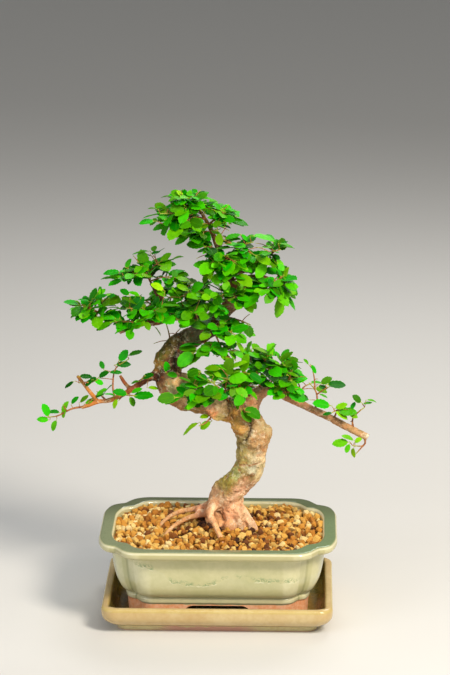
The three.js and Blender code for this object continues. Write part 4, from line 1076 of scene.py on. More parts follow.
# each shoot: name, points from the wood outwards, leaves, forks as share, tip and leaves
shoots = [
    ("apex_top", [(-20, 0, 354), (-26, -4, 361), (-33, -7, 362)], 7,
     [(0.3, -16, -6, 362, 5), (0.25, -27, -16, 354, 4), (0.15, -14, -14, 352, 4)]),
    ("apex_left", [(-11, 0, 342), (-27, -9, 348), (-48, -15, 350)], 8,
     [(0.45, -46, -14, 341, 6), (0.25, -30, -22, 342, 4)]),
    ("apex_low_left", [(-5, 0, 330), (-18, -9, 334), (-27, -14, 330)], 7, [(0.3, -12, -20, 334, 4)]),
    ("apex_right", [(-9, 0, 337), (0, -6, 346), (6, -10, 350)], 4,
     [(0.5, 11, -14, 341, 5), (0.3, 0, -16, 334, 4)]),
    ("upper_left", [(0, 1, 315), (-7, -7, 320), (-12, -12, 321)], 5, [(0.4, -10, -15, 311, 4)]),
    ("upper_front", [(5, 2, 307), (4, -10, 312), (8, -20, 317)], 6,
     [(0.5, -3, -21, 309, 4), (0.6, 16, -22, 309, 5)]),
    ("upper_right", [(7, 2, 302), (18, -4, 319), (29, -9, 325)], 6,
     [(0.4, 10, -13, 325, 4), (0.5, 30, -14, 315, 5)]),
    ("right_up", [(41, -6, 314), (46, -9, 317), (52, -10, 319)], 7,
     [(0.5, 40, -15, 309, 5), (0.5, 37, 8, 317, 5)]),
    ("right_mid", [(43, -11, 293), (48, -14, 293), (53, -15, 291)], 6,
     [(0.5, 50, -18, 280, 4), (0.55, 55, -14, 298, 4), (0.5, 35, -22, 284, 6), (0.7, 57, -16, 283, 3)]),
    ("centre_up", [(9, 3, 296), (1, -8, 303), (-3, -14, 304)], 5, [(0.4, 14, -18, 299, 5)]),
    ("up_left", [(-55, 1, 284), (-59, 2, 291), (-61, 2, 297)], 4,
     [(0.7, -47, 4, 306, 7), (0.6, -83, -8, 293, 8), (0.3, -36, -8, 294, 6), (0.8, -68, -2, 306, 4)]),
    ("mid_left_tip", [(-96, -14, 263), (-106, -14, 268), (-114, -14, 271)], 7,
     [(0.2, -95, -10, 276, 5), (0.6, -105, -20, 276, 3), (0.3, -101, -22, 264, 3)]),
    ("mid_left_front", [(-71, -13, 252), (-78, -25, 261), (-87, -31, 261)], 6, [(0.4, -68, -33, 261, 4)]),
    ("mid_left_big", [(-56, -9, 257), (-59, -20, 267), (-66, -24, 274)], 6,
     [(0.3, -47, -22, 272, 4), (0.5, -76, -26, 272, 4)]),
    ("mid_left_low", [(-40, -3, 258), (-44, -18, 261), (-51, -27, 264)], 6, [(0.4, -33, -28, 263, 5)]),
    ("mid_left_back", [(-50, -7, 257), (-59, 20, 265), (-74, 32, 266)], 7, []),
    ("mid_centre_left", [(-33, -1, 258), (-29, -12, 269), (-32, -20, 280)], 5, [(0.3, -19, -24, 269, 5)]),
    ("centre_left_up", [(-23, 2, 257), (-18, -5, 271), (-10, -10, 287)], 7, [(0.4, -28, -12, 286, 5)]),
    ("centre_front", [(7, 5, 265), (-3, -12, 274), (-12, -22, 280)], 6,
     [(0.4, 4, -24, 284, 4), (0.35, -8, -27, 268, 4)]),
    ("centre_right", [(11, 5, 275), (17, -10, 279), (23, -20, 276)], 6, [(0.5, 22, -14, 287, 4)]),
    ("centre_low", [(-3, 6, 252), (4, -14, 252), (14, -26, 250)], 8, [(0.3, -7, -24, 252, 5)]),
    ("centre_low_right", [(3, 6, 257), (16, -4, 257), (27, -10, 254)], 8, []),
    ("centre_low_left", [(-12, 5, 245), (-11, -10, 238), (-20, -18, 232)], 6, [(0.5, -4, -20, 238, 4)]),
    ("centre_under", [(-6, 6, 249), (1, -12, 238), (7, -22, 230)], 7, []),
    ("pad_right_top", [(35, 4, 193), (33, -4, 210), (27, -12, 224)], 7, [(0.5, 41, -10, 227, 5)]),
    ("pad_right_mid", [(41, 5, 194), (48, -2, 210), (54, -8, 222)], 7, [(0.5, 38, -18, 219, 5)]),
    ("pad_right_outer", [(50, 5, 192), (57, -4, 202), (62, -8, 207)], 6,
     [(0.4, 57, -16, 194, 5), (0.6, 62, -10, 215, 4)]),
    ("low_centre", [(9, -9, 179), (6, -24, 198), (-7, -30, 211)], 8, [(0.5, 8, -30, 215, 4)]),
    ("low_centre_up", [(-4, -9, 184), (-12, -24, 200), (-20, -29, 208)], 6, [(0.5, -6, -33, 201, 4)]),
    ("low_centre_left", [(-11, -9, 185), (-21, -24, 194), (-35, -29, 196)], 7, [(0.4, -14, -30, 188, 4)]),
    ("low_centre_right", [(22, -4, 179), (18, -22, 203), (20, -28, 218)], 7,
     [(0.5, 33, -28, 206, 5), (0.35, 28, -26, 194, 4)]),
    ("low_front", [(23, -6, 175), (22, -22, 182), (27, -27, 183)], 4, []),
    ("stub_shoot", [(-3, -16, 180), (-9, -25, 174), (-16, -28, 171)], 4, []),
    ("elbow_shoot", [(-42, -2, 209), (-44, -18, 215)], 3, []),
    ("left_inner", [(-55, -1, 206), (-59, -8, 206), (-62, -11, 210)], 3, []),
    ("left_low", [(-81, -4, 191), (-77, -12, 193), (-68, -15, 193)], 5, [(0.3, -84, -13, 188, 2)]),
    ("left_up_inner", [(-88, -4.5, 188), (-88, -2, 196), (-92, 1, 205), (-84, 3, 215), (-76, 4, 220)], 9,
     []),
    ("left_up_outer", [(-112, -6, 199), (-107, -9, 203), (-102, -9, 205)], 5, [(0.4, -117, -15, 204, 2)]),
    ("left_back", [(-95, -5, 186), (-104, 12, 189)], 4, []),
    ("left_tip", [(-113, -7, 181), (-124, -7, 179), (-136, -8, 173), (-146, -9, 172)], 8,
     [(0.45, -131, -12, 184, 2)]),
    ("right_twig_inner", [(81, 0, 177), (83, 1, 191), (76, 2, 201)], 4,
     [(0.5, 94, -2, 199, 5), (0.7, 79, 6, 211, 4), (0.15, 92, -6, 182, 2)]),
    ("right_twig_mid", [(97, -2, 170), (101, -3, 179), (106, -6, 180)], 6, [(0.5, 95, -10, 178, 3)]),
    ("right_twig_outer", [(114, -4, 161), (113, -4, 171), (118, -6, 178), (123, -6, 182)], 6, []),
    ("right_hang", [(123, -5, 156), (123, -11, 150), (113, -15, 151)], 5, [(0.5, 116, -16, 144, 2)]),
    ("back_centre", [(5, 6, 262), (-4, 28, 264), (-14, 42, 266)], 7, [(0.4, 9, 38, 272, 4)]),
    ("back_low", [(21, -3, 177), (12, 20, 188), (-1, 36, 193)], 7, [(0.4, 23, 34, 197, 4)]),
    ("back_right", [(37, 5, 194), (46, 26, 200), (55, 38, 203)], 7, []),
    ("back_top", [(0, 2, 316), (3, 18, 322), (-4, 26, 328)], 6, []),
    ("back_apex", [(-11, 0, 342), (-15, 12, 346), (-24, 22, 347)], 6, []),
    ("back_up", [(10, 4, 285), (19, 20, 293), (24, 33, 297)], 7, [(0.4, 34, 22, 300, 4)]),
    ("back_left", [(-38, -2, 259), (-44, 18, 266), (-52, 34, 269)], 7, [(0.4, -36, 32, 277, 5)]),
    ("back_elbow", [(-44, 3, 218), (-42, 22, 230), (-46, 34, 244)], 7, [(0.4, -34, 38, 238, 4)]),
    ("back_outer", [(66, 3, 184), (70, 18, 191), (78, 28, 193)], 6, [(0.4, 62, 30, 203, 4)]),
]


# leaves that stand alone, set one by one where the photo shows them: foot and tip as its pixels, how far the
# blade turns its face to the viewer, and how young it is
loneLeaves = {
    "left_tip": [
        (50, 420, 33, 417, 0.7, 0.1), (49, 418, 43, 404, 0.9, 0), (61, 413, 48, 411, 0.45, 0),
        (57, 419, 52, 431, 0.8, 0.3), (62, 414, 66, 401, 0.5, 0.5), (66, 408, 62, 418, 0.7, 0.6),
        (71, 405, 77, 396, 0.6, 0), (79, 403, 88, 395, 0.5, 0.3), (84, 404, 94, 399, 0.5, 0.4),
        (95, 396, 106, 388, 0.3, 0.2), (94, 398, 103, 393, 0.5, 0), (116, 396, 104, 393, 0.15, 0)],
    "left_up_outer": [
        (75, 381, 64, 386, 0.35, 0), (78, 376, 92, 376, 0.4, 0), (93, 379, 85, 385, 0.6, 0),
        (98, 378, 88, 380, 0.6, 0), (93, 380, 104, 383, 0.7, 0)],
    "left_up_inner": [
        (98, 378, 107, 371, 0.6, 0), (104, 370, 101, 361, 0.95, 0), (108, 372, 122, 372, 0.4, 0),
        (118, 362, 127, 350, 0.9, 0), (127, 356, 142, 350, 0.4, 0.1), (114, 365, 131, 363, 0.5, 0),
        (109, 379, 101, 378, 0.3, 0)],
    "left_inner": [
        (141, 379, 152, 373, 0.5, 0), (140, 381, 131, 383, 0.4, 0.1), (147, 388, 158, 387, 0.4, 0.8)],
    "left_low": [
        (129, 395, 113, 391, 0.75, 0), (129, 396, 135, 406, 0.85, 0.2), (130, 393, 142, 388, 0.5, 0.1),
        (131, 396, 153, 394, 0.45, 0), (118, 398, 112, 408, 0.5, 1.2)],
    "elbow_shoot": [(167, 374, 166, 362, 0.9, 0), (166, 374, 177, 375, 0.8, 0.1)],
    "stub_shoot": [
        (210, 416, 200, 416, 0.5, 1.2), (212, 421, 200, 429, 0.95, 0.7), (200, 422, 182, 434, 0.2, 1.0)],
    "low_front": [
        (240, 409, 252, 421, 0.75, 0.2), (242, 408, 261, 416, 0.65, 0.1), (240, 393, 236, 410, 0.4, 0.4)],
    "right_twig_inner": [
        (309, 365, 304, 359, 0.5, 0.3), (310, 364, 317, 373, 0.6, 0), (318, 379, 312, 377, 0.5, 0.2),
        (320, 385, 331, 377, 0.85, 0.2), (325, 385, 346, 383, 0.5, 0), (317, 387, 328, 387, 0.6, 0),
        (314, 390, 308, 389, 0.6, 0.6), (318, 394, 328, 396, 0.2, 0.2), (310, 400, 300, 398, 0.4, 0)],
    "right_twig_mid": [
        (332, 406, 314, 401, 0.55, 0), (333, 413, 323, 413, 0.4, 0), (334, 409, 347, 403, 0.6, 0.7),
        (350, 410, 355, 402, 0.9, 0), (336, 411, 357, 411, 0.5, 0.2), (334, 411, 348, 417, 0.5, 0.9),
        (348, 413, 358, 417, 0.7, 0.7)],
    "right_twig_outer": [
        (362, 403, 354, 395, 0.7, 0.1), (366, 400, 391, 401, 0.15, 0.4), (362, 404, 372, 402, 0.3, 0.2),
        (350, 422, 354, 418, 0.6, 1.1)],
    "right_hang": [
        (350, 442, 333, 442, 0.75, 0.4), (350, 443, 346, 453, 1, 0.3), (355, 441, 342, 435, 0.4, 0.5),
        (354, 443, 361, 438, 0.7, 0.9), (354, 447, 353, 458, 0.5, 1.2), (355, 447, 359, 454, 0.5, 1.2)],
}
# leaves that shape the outline of the crown, beside the others of their shoots
edgeLeaves = {
    "apex_top": [
        (181, 190, 169, 189, 0.2, 0.1), (174, 197, 161, 195, 0.1, 0.2), (184, 198, 177, 190, 0.5, 1.1),
        (189, 200, 190, 188, 0.9, 0.3), (191, 201, 199, 195, 0.6, 0), (199, 198, 214, 198, 0.15, 0.2),
        (180, 201, 170, 202, 0.4, 1.1), (197, 203, 209, 201, 0.15, 0.5), (200, 209, 208, 210, 0.15, 0.2),
        (195, 210, 206, 203, 0.5, 1.2), (188, 208, 180, 200, 0.2, 1.2)],
    "apex_left": [
        (167, 222, 158, 206, 0.9, 0.1), (158, 209, 148, 207, 0.15, 0.2), (156, 221, 139, 221, 0.35, 0),
        (170, 225, 152, 227, 0.4, 0.1), (168, 209, 179, 208, 0.15, 1), (172, 212, 178, 225, 0.8, 0.2),
        (179, 227, 168, 231, 0.4, 0)],
    "apex_low_left": [
        (191, 236, 174, 243, 0.5, 0.2), (193, 229, 181, 226, 0.7, 0.4), (191, 232, 207, 224, 0.8, 0.5)],
    "upper_left": [
        (206, 246, 193, 247, 0.5, 0.1), (213, 249, 197, 251, 0.3, 0.1), (205, 252, 216, 262, 0.4, 0)],
    "apex_right": [
        (222, 211, 214, 202, 0.5, 0.1), (224, 212, 235, 211, 0.1, 0.1), (225, 213, 236, 216, 0.2, 0.3),
        (221, 213, 226, 224, 0.9, 0.5), (227, 220, 245, 223, 0.4, 0.1), (220, 225, 231, 226, 0.2, 0),
        (217, 223, 208, 228, 0.6, 0.1)],
    "upper_right": [
        (223, 240, 240, 233, 0.4, 0.1), (240, 234, 249, 240, 0.5, 0), (223, 244, 240, 243, 0.3, 0.1),
        (250, 236, 275, 236, 0.2, 0.2), (233, 250, 226, 263, 0.85, 0), (237, 254, 255, 252, 0.5, 0.1)],
    "right_up": [
        (278, 243, 293, 246, 0.15, 0.2), (270, 248, 279, 242, 0.25, 0.3), (268, 255, 279, 255, 0.15, 0.3),
        (259, 259, 275, 260, 0.2, 0.4), (254, 262, 268, 273, 0.5, 0.3)],
    "upper_front": [
        (212, 262, 204, 269, 0.4, 0.5), (214, 264, 207, 279, 0.5, 0.8), (224, 264, 217, 274, 0.7, 0.1)],
    "right_mid": [
        (284, 281, 286, 267, 0.3, 1.4), (287, 277, 293, 287, 0.4, 0.1), (282, 287, 293, 290, 0.4, 0.3),
        (276, 278, 264, 280, 0.7, 0), (267, 288, 252, 296, 0.6, 0.2), (279, 294, 282, 311, 0.85, 0.1),
        (282, 294, 299, 307, 0.3, 0.1)],
    "centre_right": [
        (250, 298, 257, 309, 0.8, 0.4), (247, 296, 236, 308, 0.8, 0.4), (251, 282, 265, 282, 0.3, 0)],
    "centre_up": [(246, 267, 231, 276, 0.3, 0.4), (240, 286, 232, 281, 0.6, 1.2)],
    "up_left": [
        (150, 251, 132, 253, 0.12, 0.2), (150, 254, 160, 251, 0.4, 0), (160, 264, 169, 252, 0.6, 0.6),
        (168, 262, 182, 254, 0.05, 0.5), (160, 268, 175, 262, 0.4, 0.2), (122, 273, 103, 272, 0.4, 0),
        (124, 280, 108, 284, 0.4, 0), (122, 272, 136, 268, 0.2, 0.1), (128, 272, 131, 285, 0.6, 0),
        (141, 274, 137, 266, 0.5, 1.4), (141, 274, 148, 268, 0.5, 1.4), (140, 275, 132, 272, 0.4, 1.2),
        (175, 283, 174, 270, 0.9, 0.1)],
    "centre_left_up": [(193, 283, 175, 279, 0.3, 1)],
    "mid_left_tip": [
        (92, 299, 107, 294, 0.4, 0), (81, 305, 64, 301, 0.35, 0), (90, 302, 79, 297, 0.15, 0),
        (83, 309, 70, 308, 0.15, 0.2), (80, 310, 70, 318, 0.1, 1.3), (83, 304, 92, 316, 0.7, 0),
        (118, 300, 107, 292, 0.4, 0.6), (116, 306, 103, 303, 0.3, 0.2), (112, 299, 99, 304, 0.25, 1.1)],
    "mid_left_front": [
        (118, 319, 101, 317, 0.4, 0.1), (113, 322, 95, 327, 0.5, 0.1), (117, 324, 128, 330, 0.5, 0.3)],
    "mid_left_big": [
        (131, 313, 142, 297, 0.85, 0), (154, 326, 140, 317, 0.9, 0), (154, 326, 160, 306, 0.95, 0),
        (154, 326, 162, 335, 0.05, 1.2), (163, 308, 169, 318, 0.8, 0), (130, 296, 121, 288, 0.7, 0),
        (141, 297, 129, 291, 0.4, 0.2), (165, 291, 152, 282, 0.5, 1.2)],
    "pad_right_top": [
        (252, 348, 269, 350, 0.2, 0.5), (273, 355, 269, 344, 0.8, 0.4), (245, 356, 238, 342, 0.25, 0.7),
        (247, 356, 249, 341, 0.15, 0.7), (247, 357, 231, 349, 0.25, 0.8), (264, 353, 246, 352, 0.3, 0),
        (266, 360, 252, 355, 0.3, 0), (269, 367, 256, 361, 0.3, 0)],
    "pad_right_mid": [(280, 358, 289, 349, 0.85, 0.1), (284, 357, 297, 359, 0.4, 0)],
    "pad_right_outer": [
        (283, 367, 297, 358, 0.8, 0.2), (289, 372, 301, 375, 0.3, 0), (290, 378, 298, 396, 0.7, 0.4),
        (280, 386, 296, 396, 0.6, 0.2), (284, 381, 273, 382, 0.5, 0.1), (278, 386, 277, 400, 0.6, 0.4)],
    "low_centre_left": [
        (188, 394, 163, 399, 0.35, 0.1), (199, 403, 184, 408, 0.4, 0.3), (206, 402, 191, 409, 0.4, 0.5)],
    "low_centre_up": [(201, 371, 187, 373, 0.7, 0.1)],
    "centre_low_left": [(199, 350, 180, 356, 0.5, 0.4), (205, 353, 178, 364, 0.3, 0.3)],
    "low_centre": [
        (228, 391, 212, 394, 0.5, 0.3), (235, 391, 230, 382, 0.7, 1.4), (222, 369, 205, 366, 0.4, 0.4),
        (214, 376, 205, 370, 0.6, 0.4), (227, 369, 246, 360, 0.15, 0.8), (230, 374, 241, 368, 0.2, 0.9),
        (212, 382, 188, 387, 0.4, 0.2), (210, 380, 194, 377, 0.5, 0), (222, 378, 214, 370, 0.6, 0.5),
        (232, 372, 219, 364, 0.5, 0.3)],
    "low_centre_right": [
        (248, 391, 259, 398, 0.3, 0.3), (247, 373, 262, 380, 0.7, 0), (243, 394, 244, 371, 0.8, 0.5),
        (238, 380, 229, 368, 0.7, 0.4), (246, 372, 240, 362, 0.6, 0.2)],
    "centre_under": [
        (231, 364, 222, 350, 0.7, 0.6), (217, 357, 216, 342, 0.85, 0), (225, 352, 230, 342, 0.5, 0.3),
        (236, 361, 230, 350, 0.5, 0.6)],
    "centre_low_right": [(222, 318, 206, 314, 0.6, 0.3), (225, 330, 208, 326, 0.5, 0.4)],
    "centre_front": [(214, 311, 205, 303, 0.6, 0.3), (222, 300, 208, 296, 0.5, 0.4)],
    "mid_centre_left": [
        (199, 311, 175, 314, 0.7, 0.2), (198, 320, 180, 326, 0.5, 0.3), (186, 296, 172, 301, 0.7, 0.1),
        (200, 300, 187, 304, 0.6, 0.2), (190, 292, 177, 284, 0.5, 0.6), (168, 297, 157, 291, 0.5, 0.4)],
}
# round places that stay free of the other leaves there: the middle as pixels of the photo, and the radius
barePlaces = [
    (221, 410, 15), (209, 421, 11), (190, 414, 10), (230, 406, 8), (252, 398, 10), (286, 403, 7),
    (160, 342, 13), (172, 328, 9), (186, 334, 10), (116, 333, 6), (84, 324, 9), (205, 258, 7),
    (182, 400, 7), (308, 372, 9), (308, 388, 8), (257, 245, 9), (292, 268, 8), (291, 254, 8),
    (298, 303, 7), (264, 299, 5), (123, 257, 8), (75, 293, 8), (92, 282, 8), (167, 251, 7), (166, 202, 8),
    (154, 232, 8), (163, 234, 6), (184, 248, 8), (195, 255, 9), (241, 208, 8), (229, 197, 6),
    (288, 236, 8), (260, 331, 8), (251, 316, 8), (238, 312, 6), (217, 359, 6), (239, 231, 6),
    (150, 260, 4), (112, 293, 4), (204, 216, 5), (210, 228, 6), (213, 238, 6), (228, 311, 6),
    (222, 268, 4), (192, 264, 9), (133, 256, 9), (85, 290, 8), (105, 288, 6), (280, 236, 7), (282, 253, 7),
    (170, 236, 6), (206, 189, 6), (226, 201, 6), (246, 226, 6), (228, 231, 9), (301, 366, 6),
    (304, 381, 6), (301, 408, 7), (177, 386, 7), (219, 384, 6), (263, 393, 8), (98, 386, 6), (161, 398, 6),
    (236, 286, 4)]


# first seed and step from shoot to shoot
shootSeeds = {"solids": (127, 37), "scene": (911, 53)}


def drawer(seed):
    # a seeded row of shares from 0 to 1
    state = [seed]

    def draw():
        state[0] = (state[0] * 48271) % 2147483647
        return state[0] / 2147483647
    return draw


def unit(v):
    return v / np.linalg.norm(v)


def sky(spot):
    # leaves turn their upper faces out of the crown and up
    return unit(np.array([(spot[0] + 5) / 230, spot[1] / 105 - 0.15, 0.85]))


def shootRoutes(route, forks):
    # the twigs of a shoot as rows of points, the main one first
    main = np.array([smoothCurve(route, s) for s in np.linspace(0, 1, twigShape["mainSteps"] + 1)])
    rows = [main]
    for share, x, y, z, _ in forks:
        start = smoothCurve(main, share)
        tip = np.array([x, y, z], float)
        bow = (start + tip) / 2 + sky(tip) * twigShape["bow"] * np.linalg.norm(tip - start)
        rows.append(np.array([start, bow, tip]))
    return rows


def twigAxes(points, share):
    # the place there, and the ways along the twig, up and to its side
    spot, along = smoothCurve(points, share), curveTangent(points, share)
    up = sky(spot)
    return spot, along, up, unit(np.cross(along, up))


# what is drawn for each leaf and sprig: the least, and the span above it
drawnShape = {
    "turn": (0.85, 0.5), "lift": (-0.12, 0.5), "roll": (-0.65, 1.3), "size": (0.72, 0.5),
    "sideShare": (0.12, 0.8), "sideLean": (-0.3, 1), "sideLift": (-0.25, 0.9), "sideRoll": (-1.1, 2.2),
    "sideSize": (0.5, 0.45), "sprigShare": (0.2, 0.6), "sprigLean": (-0.2, 1), "sprigLift": (-0.3, 0.9),
    "sprigLength": (8, 7),
}


def within(key, draw):
    least, span = drawnShape[key]
    return least + span * draw()


def leafPlaces(points, leaves, draw):
    # from the tip down: one that points on past the tip, then leaves to either side in turn
    places = []
    for k in range(leaves):
        spot, along, up, sideways = twigAxes(points, 0.95 - 0.74 * k / leaves)
        turn = (1 if k % 2 else -1) * within("turn", draw) if k else 0.0
        lift, roll, size = (within(key, draw) for key in ("lift", "roll", "size"))
        reach = unit(along * math.cos(turn) + sideways * math.sin(turn) + up * lift)
        young = max(0.0, 1 - k / 2.5)
        places.append({"spot": spot, "up": up, "reach": reach, "roll": roll, "size": size, "young": young})
    return places


def sideLeaves(points, leaves, look):
    # the smaller leaves that hide the twig, each set askew beside one of the first ones
    places = []
    for _ in range(1, leaves):
        if look() > leafShape["pairShare"]:
            continue
        spot, along, up, sideways = twigAxes(points, within("sideShare", look))
        sideways = sideways * (1 if look() < 0.5 else -1)
        reach = unit(sideways + along * within("sideLean", look) + up * within("sideLift", look))
        places.append({"spot": spot, "up": up, "reach": reach, "roll": within("sideRoll", look),
                       "size": within("sideSize", look), "young": 0.5 * look() ** 3})
    return places


def addSprigs(points, look):
    # short side shoots of a few small leaves
    rows = []
    for n in range(leafShape["sprigs"]):
        start, along, up, sideways = twigAxes(points, within("sprigShare", look))
        sideways = sideways * (0.9 if n % 2 else -0.9)
        heading = unit(sideways + along * within("sprigLean", look) + up * within("sprigLift", look))
        length = within("sprigLength", look)
        bend = start + heading * length * 0.5 + up * 0.06 * length
        rows.append(np.array([start, bend, start + heading * length]))
    return rows


def fitLeaf(place):
    # a leaf near the tree's outermost reach stays as small as its room asks
    low, high = (np.array(corner) / mm for corner in (cadLow, cadHigh))
    while place["size"] > leafShape["smallest"]:
        tip = place["spot"] + place["reach"] * leafShape["length"] * place["size"]
        half = leafShape["halfWidth"] * place["size"] * 0.8 + leafShape["margin"]
        if (tip - half > low).all() and (tip + half < high).all():
            return True
        place["size"] *= 0.9
    return False


def photoRays():
    # where the photo was taken from, and the rays through its pixels
    matrix = scene.camera.rotation_quaternion.to_matrix()
    right, up, back = (np.array(matrix.col[i]) for i in range(3))
    width, height = cameraSet["photo"]
    focal = cameraSet["lens"] / cameraSet["sensor"] * height
    eye = np.array(scene.camera.location) / mm

    def spotAt(px, py, y):
        ray = right * (px - width / 2) - up * (py - height / 2) - back * focal
        return eye + ray * (y - eye[1]) / ray[1]

    def pixelOf(spot):
        off = np.array(spot) - eye
        near = focal / -(off @ back)
        return np.array([width / 2 + near * (off @ right), height / 2 - near * (off @ up)])

    return spotAt, pixelOf, unit(back)


spotAt, pixelOf, toViewer = photoRays()


def setLeaves(entries, rows, look):
    # lone leaves from their feet to their tips, each with the stalk that joins it to the nearest twig
    walk = np.array([smoothCurve(row, s) for row in rows for s in np.linspace(0, 1, 24)])
    seen = np.array([pixelOf(spot) for spot in walk])
    places, stalks = [], []
    for footX, footY, tipX, tipY, facing, young in entries:
        near = walk[np.argmin(np.hypot(*(seen - (footX, footY)).T))]
        foot = spotAt(footX, footY, near[1])
        flat = spotAt(tipX, tipY, near[1]) - foot
        blade = spotAt(tipX, tipY, near[1] + (look() - 0.5) * 0.6 * np.linalg.norm(flat)) - foot
        reach = unit(blade)
        broad = unit(toViewer - reach * toViewer.dot(reach))
        edge = unit(np.cross(reach, toViewer))
        edge = edge if edge[2] > 0 else -edge
        up = unit(facing ** 0.6 * broad + math.sqrt(1 - facing ** 1.2) * edge)
        size = np.linalg.norm(blade) / leafShape["length"]
        places.append({"spot": foot, "up": up, "reach": reach, "roll": 0.0, "size": size, "young": young})
        if np.linalg.norm(foot - near) > leafShape["stalkGap"]:
            stalks.append(np.array([near, (near + foot) / 2 + (0, 0, 0.3), foot]))
    return places, stalks


def isBare(place):
    middle = pixelOf(place["spot"] + place["reach"] * leafShape["length"] * place["size"] / 2)
    return any(math.hypot(middle[0] - x, middle[1] - y) < radius for x, y, radius in barePlaces)


def leafTurn(place):
    across = unit(np.cross(place["up"], place["reach"]))
    basis = Matrix((place["reach"], across, np.cross(place["reach"], across))).transposed()
    return (basis @ Matrix.Rotation(place["roll"], 3, "X")).to_quaternion()


def leafBlade(n):
    # a blade of two folded halves with a toothed edge, top and underside meeting in a sharp rim, on its stalk
    shape = leafShape
    curl, breadth, toothed = shape["curls"][n], shape["breadths"][n], shape["toothed"]
    points, marks = [], []
    for r, (s, w) in enumerate(shape["rows"]):
        tooth = shape["tooth"] * (1 if r % 2 else -1) if toothed[0] < s < toothed[1] else 0.0
        lean = shape["lean"] * math.sin(math.pi * s) * (1 if n % 2 else -1)
        sag = -shape["droop"] * (1 + curl) * s * s * shape["length"]
        half = (w + tooth) * breadth * shape["halfWidth"]
        rise = sag + shape["fold"] * (1 - 0.3 * curl) * half + shape["wave"] * math.sin(9 * s + 2 * n) * w
        thick = shape["thickness"] / 2
        x = s * shape["length"]
        out = x + shape["sweep"] * w
        points += [(x, lean, sag + thick), (out, lean + half, rise)]
        points += [(x, lean, sag - thick), (out, lean - half, rise)]
        marks += [(s, 0.0, 0.0), (s, 1.0, 0.0), (s, 0.0, 1.0), (s, -1.0, 0.0)]
    obj = meshObject("leafBlade" + str(n), np.array(points) * mm, tubeFaces(len(shape["rows"]), 4))
    storeOn(obj.data, "blade", "FLOAT_VECTOR", marks, "vector")
    with editing(obj.data) as bm:
        bmesh.ops.recalc_face_normals(bm, faces=bm.faces)
        for edge in bm.edges:
            a, b = (v.index % 4 for v in edge.verts)
            edge.smooth = not (a == b and a in (1, 3))
    for face in obj.data.polygons:
        face.use_smooth = True
    return obj


def sprayNodes():
    # twigs from the edges, leaves on the loose points
    group, step, given, end = newNodeGroup("leafySpray", {
        "Leaves": "Collection", "Twig sides": "Int", "Leaf": "Material", "Twig": "Material"})

    def named(name, kind="FLOAT"):
        return step("GeometryNodeInputNamedAttribute", {"Name": name}, data_type=kind)["Attribute"]

    parts = step("GeometryNodeSeparateGeometry", {
        "Geometry": given["Geometry"], "Selection": named("isLeaf", "BOOLEAN")}, domain="POINT")
    curve = step("GeometryNodeMeshToCurve", {"Mesh": parts["Inverted"]})
    thick = step("GeometryNodeSetCurveRadius", {"Curve": curve[0], "Radius": named("size")})
    ring = step("GeometryNodeCurvePrimitiveCircle", {"Resolution": given["Twig sides"], "Radius": 1.0})
    tubes = addNode(group, "GeometryNodeCurveToMesh", {
        "Curve": thick[0], "Profile Curve": ring["Curve"], "Fill Caps": True})
    if "Scale" in tubes.inputs:
        feed(tubes, {"Scale": named("size")})
    brown = step("GeometryNodeSetMaterial", {"Geometry": tubes.outputs[0], "Material": given["Twig"]})
    blades = step("GeometryNodeCollectionInfo", {
        "Collection": given["Leaves"], "Separate Children": True, "Reset Children": True})
    leaves = step("GeometryNodeInstanceOnPoints", {
        "Points": parts["Selection"], "Instance": blades["Instances"], "Pick Instance": True,
        "Instance Index": named("shape", "INT"), "Rotation": named("turn", "QUATERNION"),
        "Scale": named("size")})
    real = step("GeometryNodeRealizeInstances", {"Geometry": leaves[0]})
    green = step("GeometryNodeSetMaterial", {"Geometry": real[0], "Material": given["Leaf"]})
    joined = addNode(group, "GeometryNodeJoinGeometry")
    for part in (brown, green):
        group.links.new(part[0], joined.inputs[0])
    smooth = step("GeometryNodeSetShadeSmooth", {"Geometry": joined.outputs[0]})
    feed(end, {0: smooth[0]})
    return group


def leafMaterial():
    # waxy young elm leaves: bright green, lime where new, a faint pale midrib with veins off it, paler below
    material, shader, spot = newMaterial("elmLeafBlade", IOR=1.3, Specular_IOR_Level=0.25)
    along, side, under = splitUp(attributeOf(spot, "blade", "Vector"))
    colour = colourRamp(attributeOf(spot, "tint"), [
        (0.0, "#034c00"), (0.3, "#087a00"), (0.65, "#14a200"), (1.0, "#32c800")])
    colour = blend(times(attributeOf(spot, "young"), 0.65), colour, "#9ad60a")
    colour = blend(spread(noiseAt(spot, 4, 3), 0.4, 0.75, 0.0, 0.3), colour, "#0c6202")
    off = absolute(side)
    rib = fade(off, 0.0, 0.09)
    # side veins leave the midrib forwards, about 1.6 mm apart
    vein = spread(sums("SINE", minus(times(along, 62.0), times(off, 9.0))), 0.75, 1.0)
    marks = sums("MAXIMUM", rib, times(vein, 0.35))
    colour = blend(times(marks, 0.2), colour, "#6ec80c")
    # stalk, rim and underside
    colour = blend(fade(along, 0.14, 0.2), colour, "#9aa832")
    # painted highlight: a paler rim along the leaf's edge
    colour = blend(spread(off, 0.86, 1.0, 0.0, 0.4), colour, "#7fd216")
    colour = blend(times(spread(under, 0.0, 0.25), 0.5), colour, "#4a960c")
    feed(shader, {
        "Base Color": colour, "Roughness": spread(under, 0.0, 1.0, 0.42, 0.62),
        "Normal": bumpFrom(times(marks, -1.0), 0.15, 0.6)})
    return material


def twigMaterial():
    # one-year elm wood: orange brown with pale pores, greener at the tips
    material, shader, spot = newMaterial("elmTwigBark", Roughness=0.6)
    grain = noiseAt(spot, 1.4, 3, 0.7)
    colour = blend(spread(grain, 0.35, 0.65), "#6d3214", "#bd7a3a")
    colour = blend(spread(attributeOf(spot, "young"), 0.35, 1.0), colour, "#9fae34")
    feed(shader, {"Base Color": colour, "Normal": bumpFrom(grain, 0.2, 0.6)})
    return material


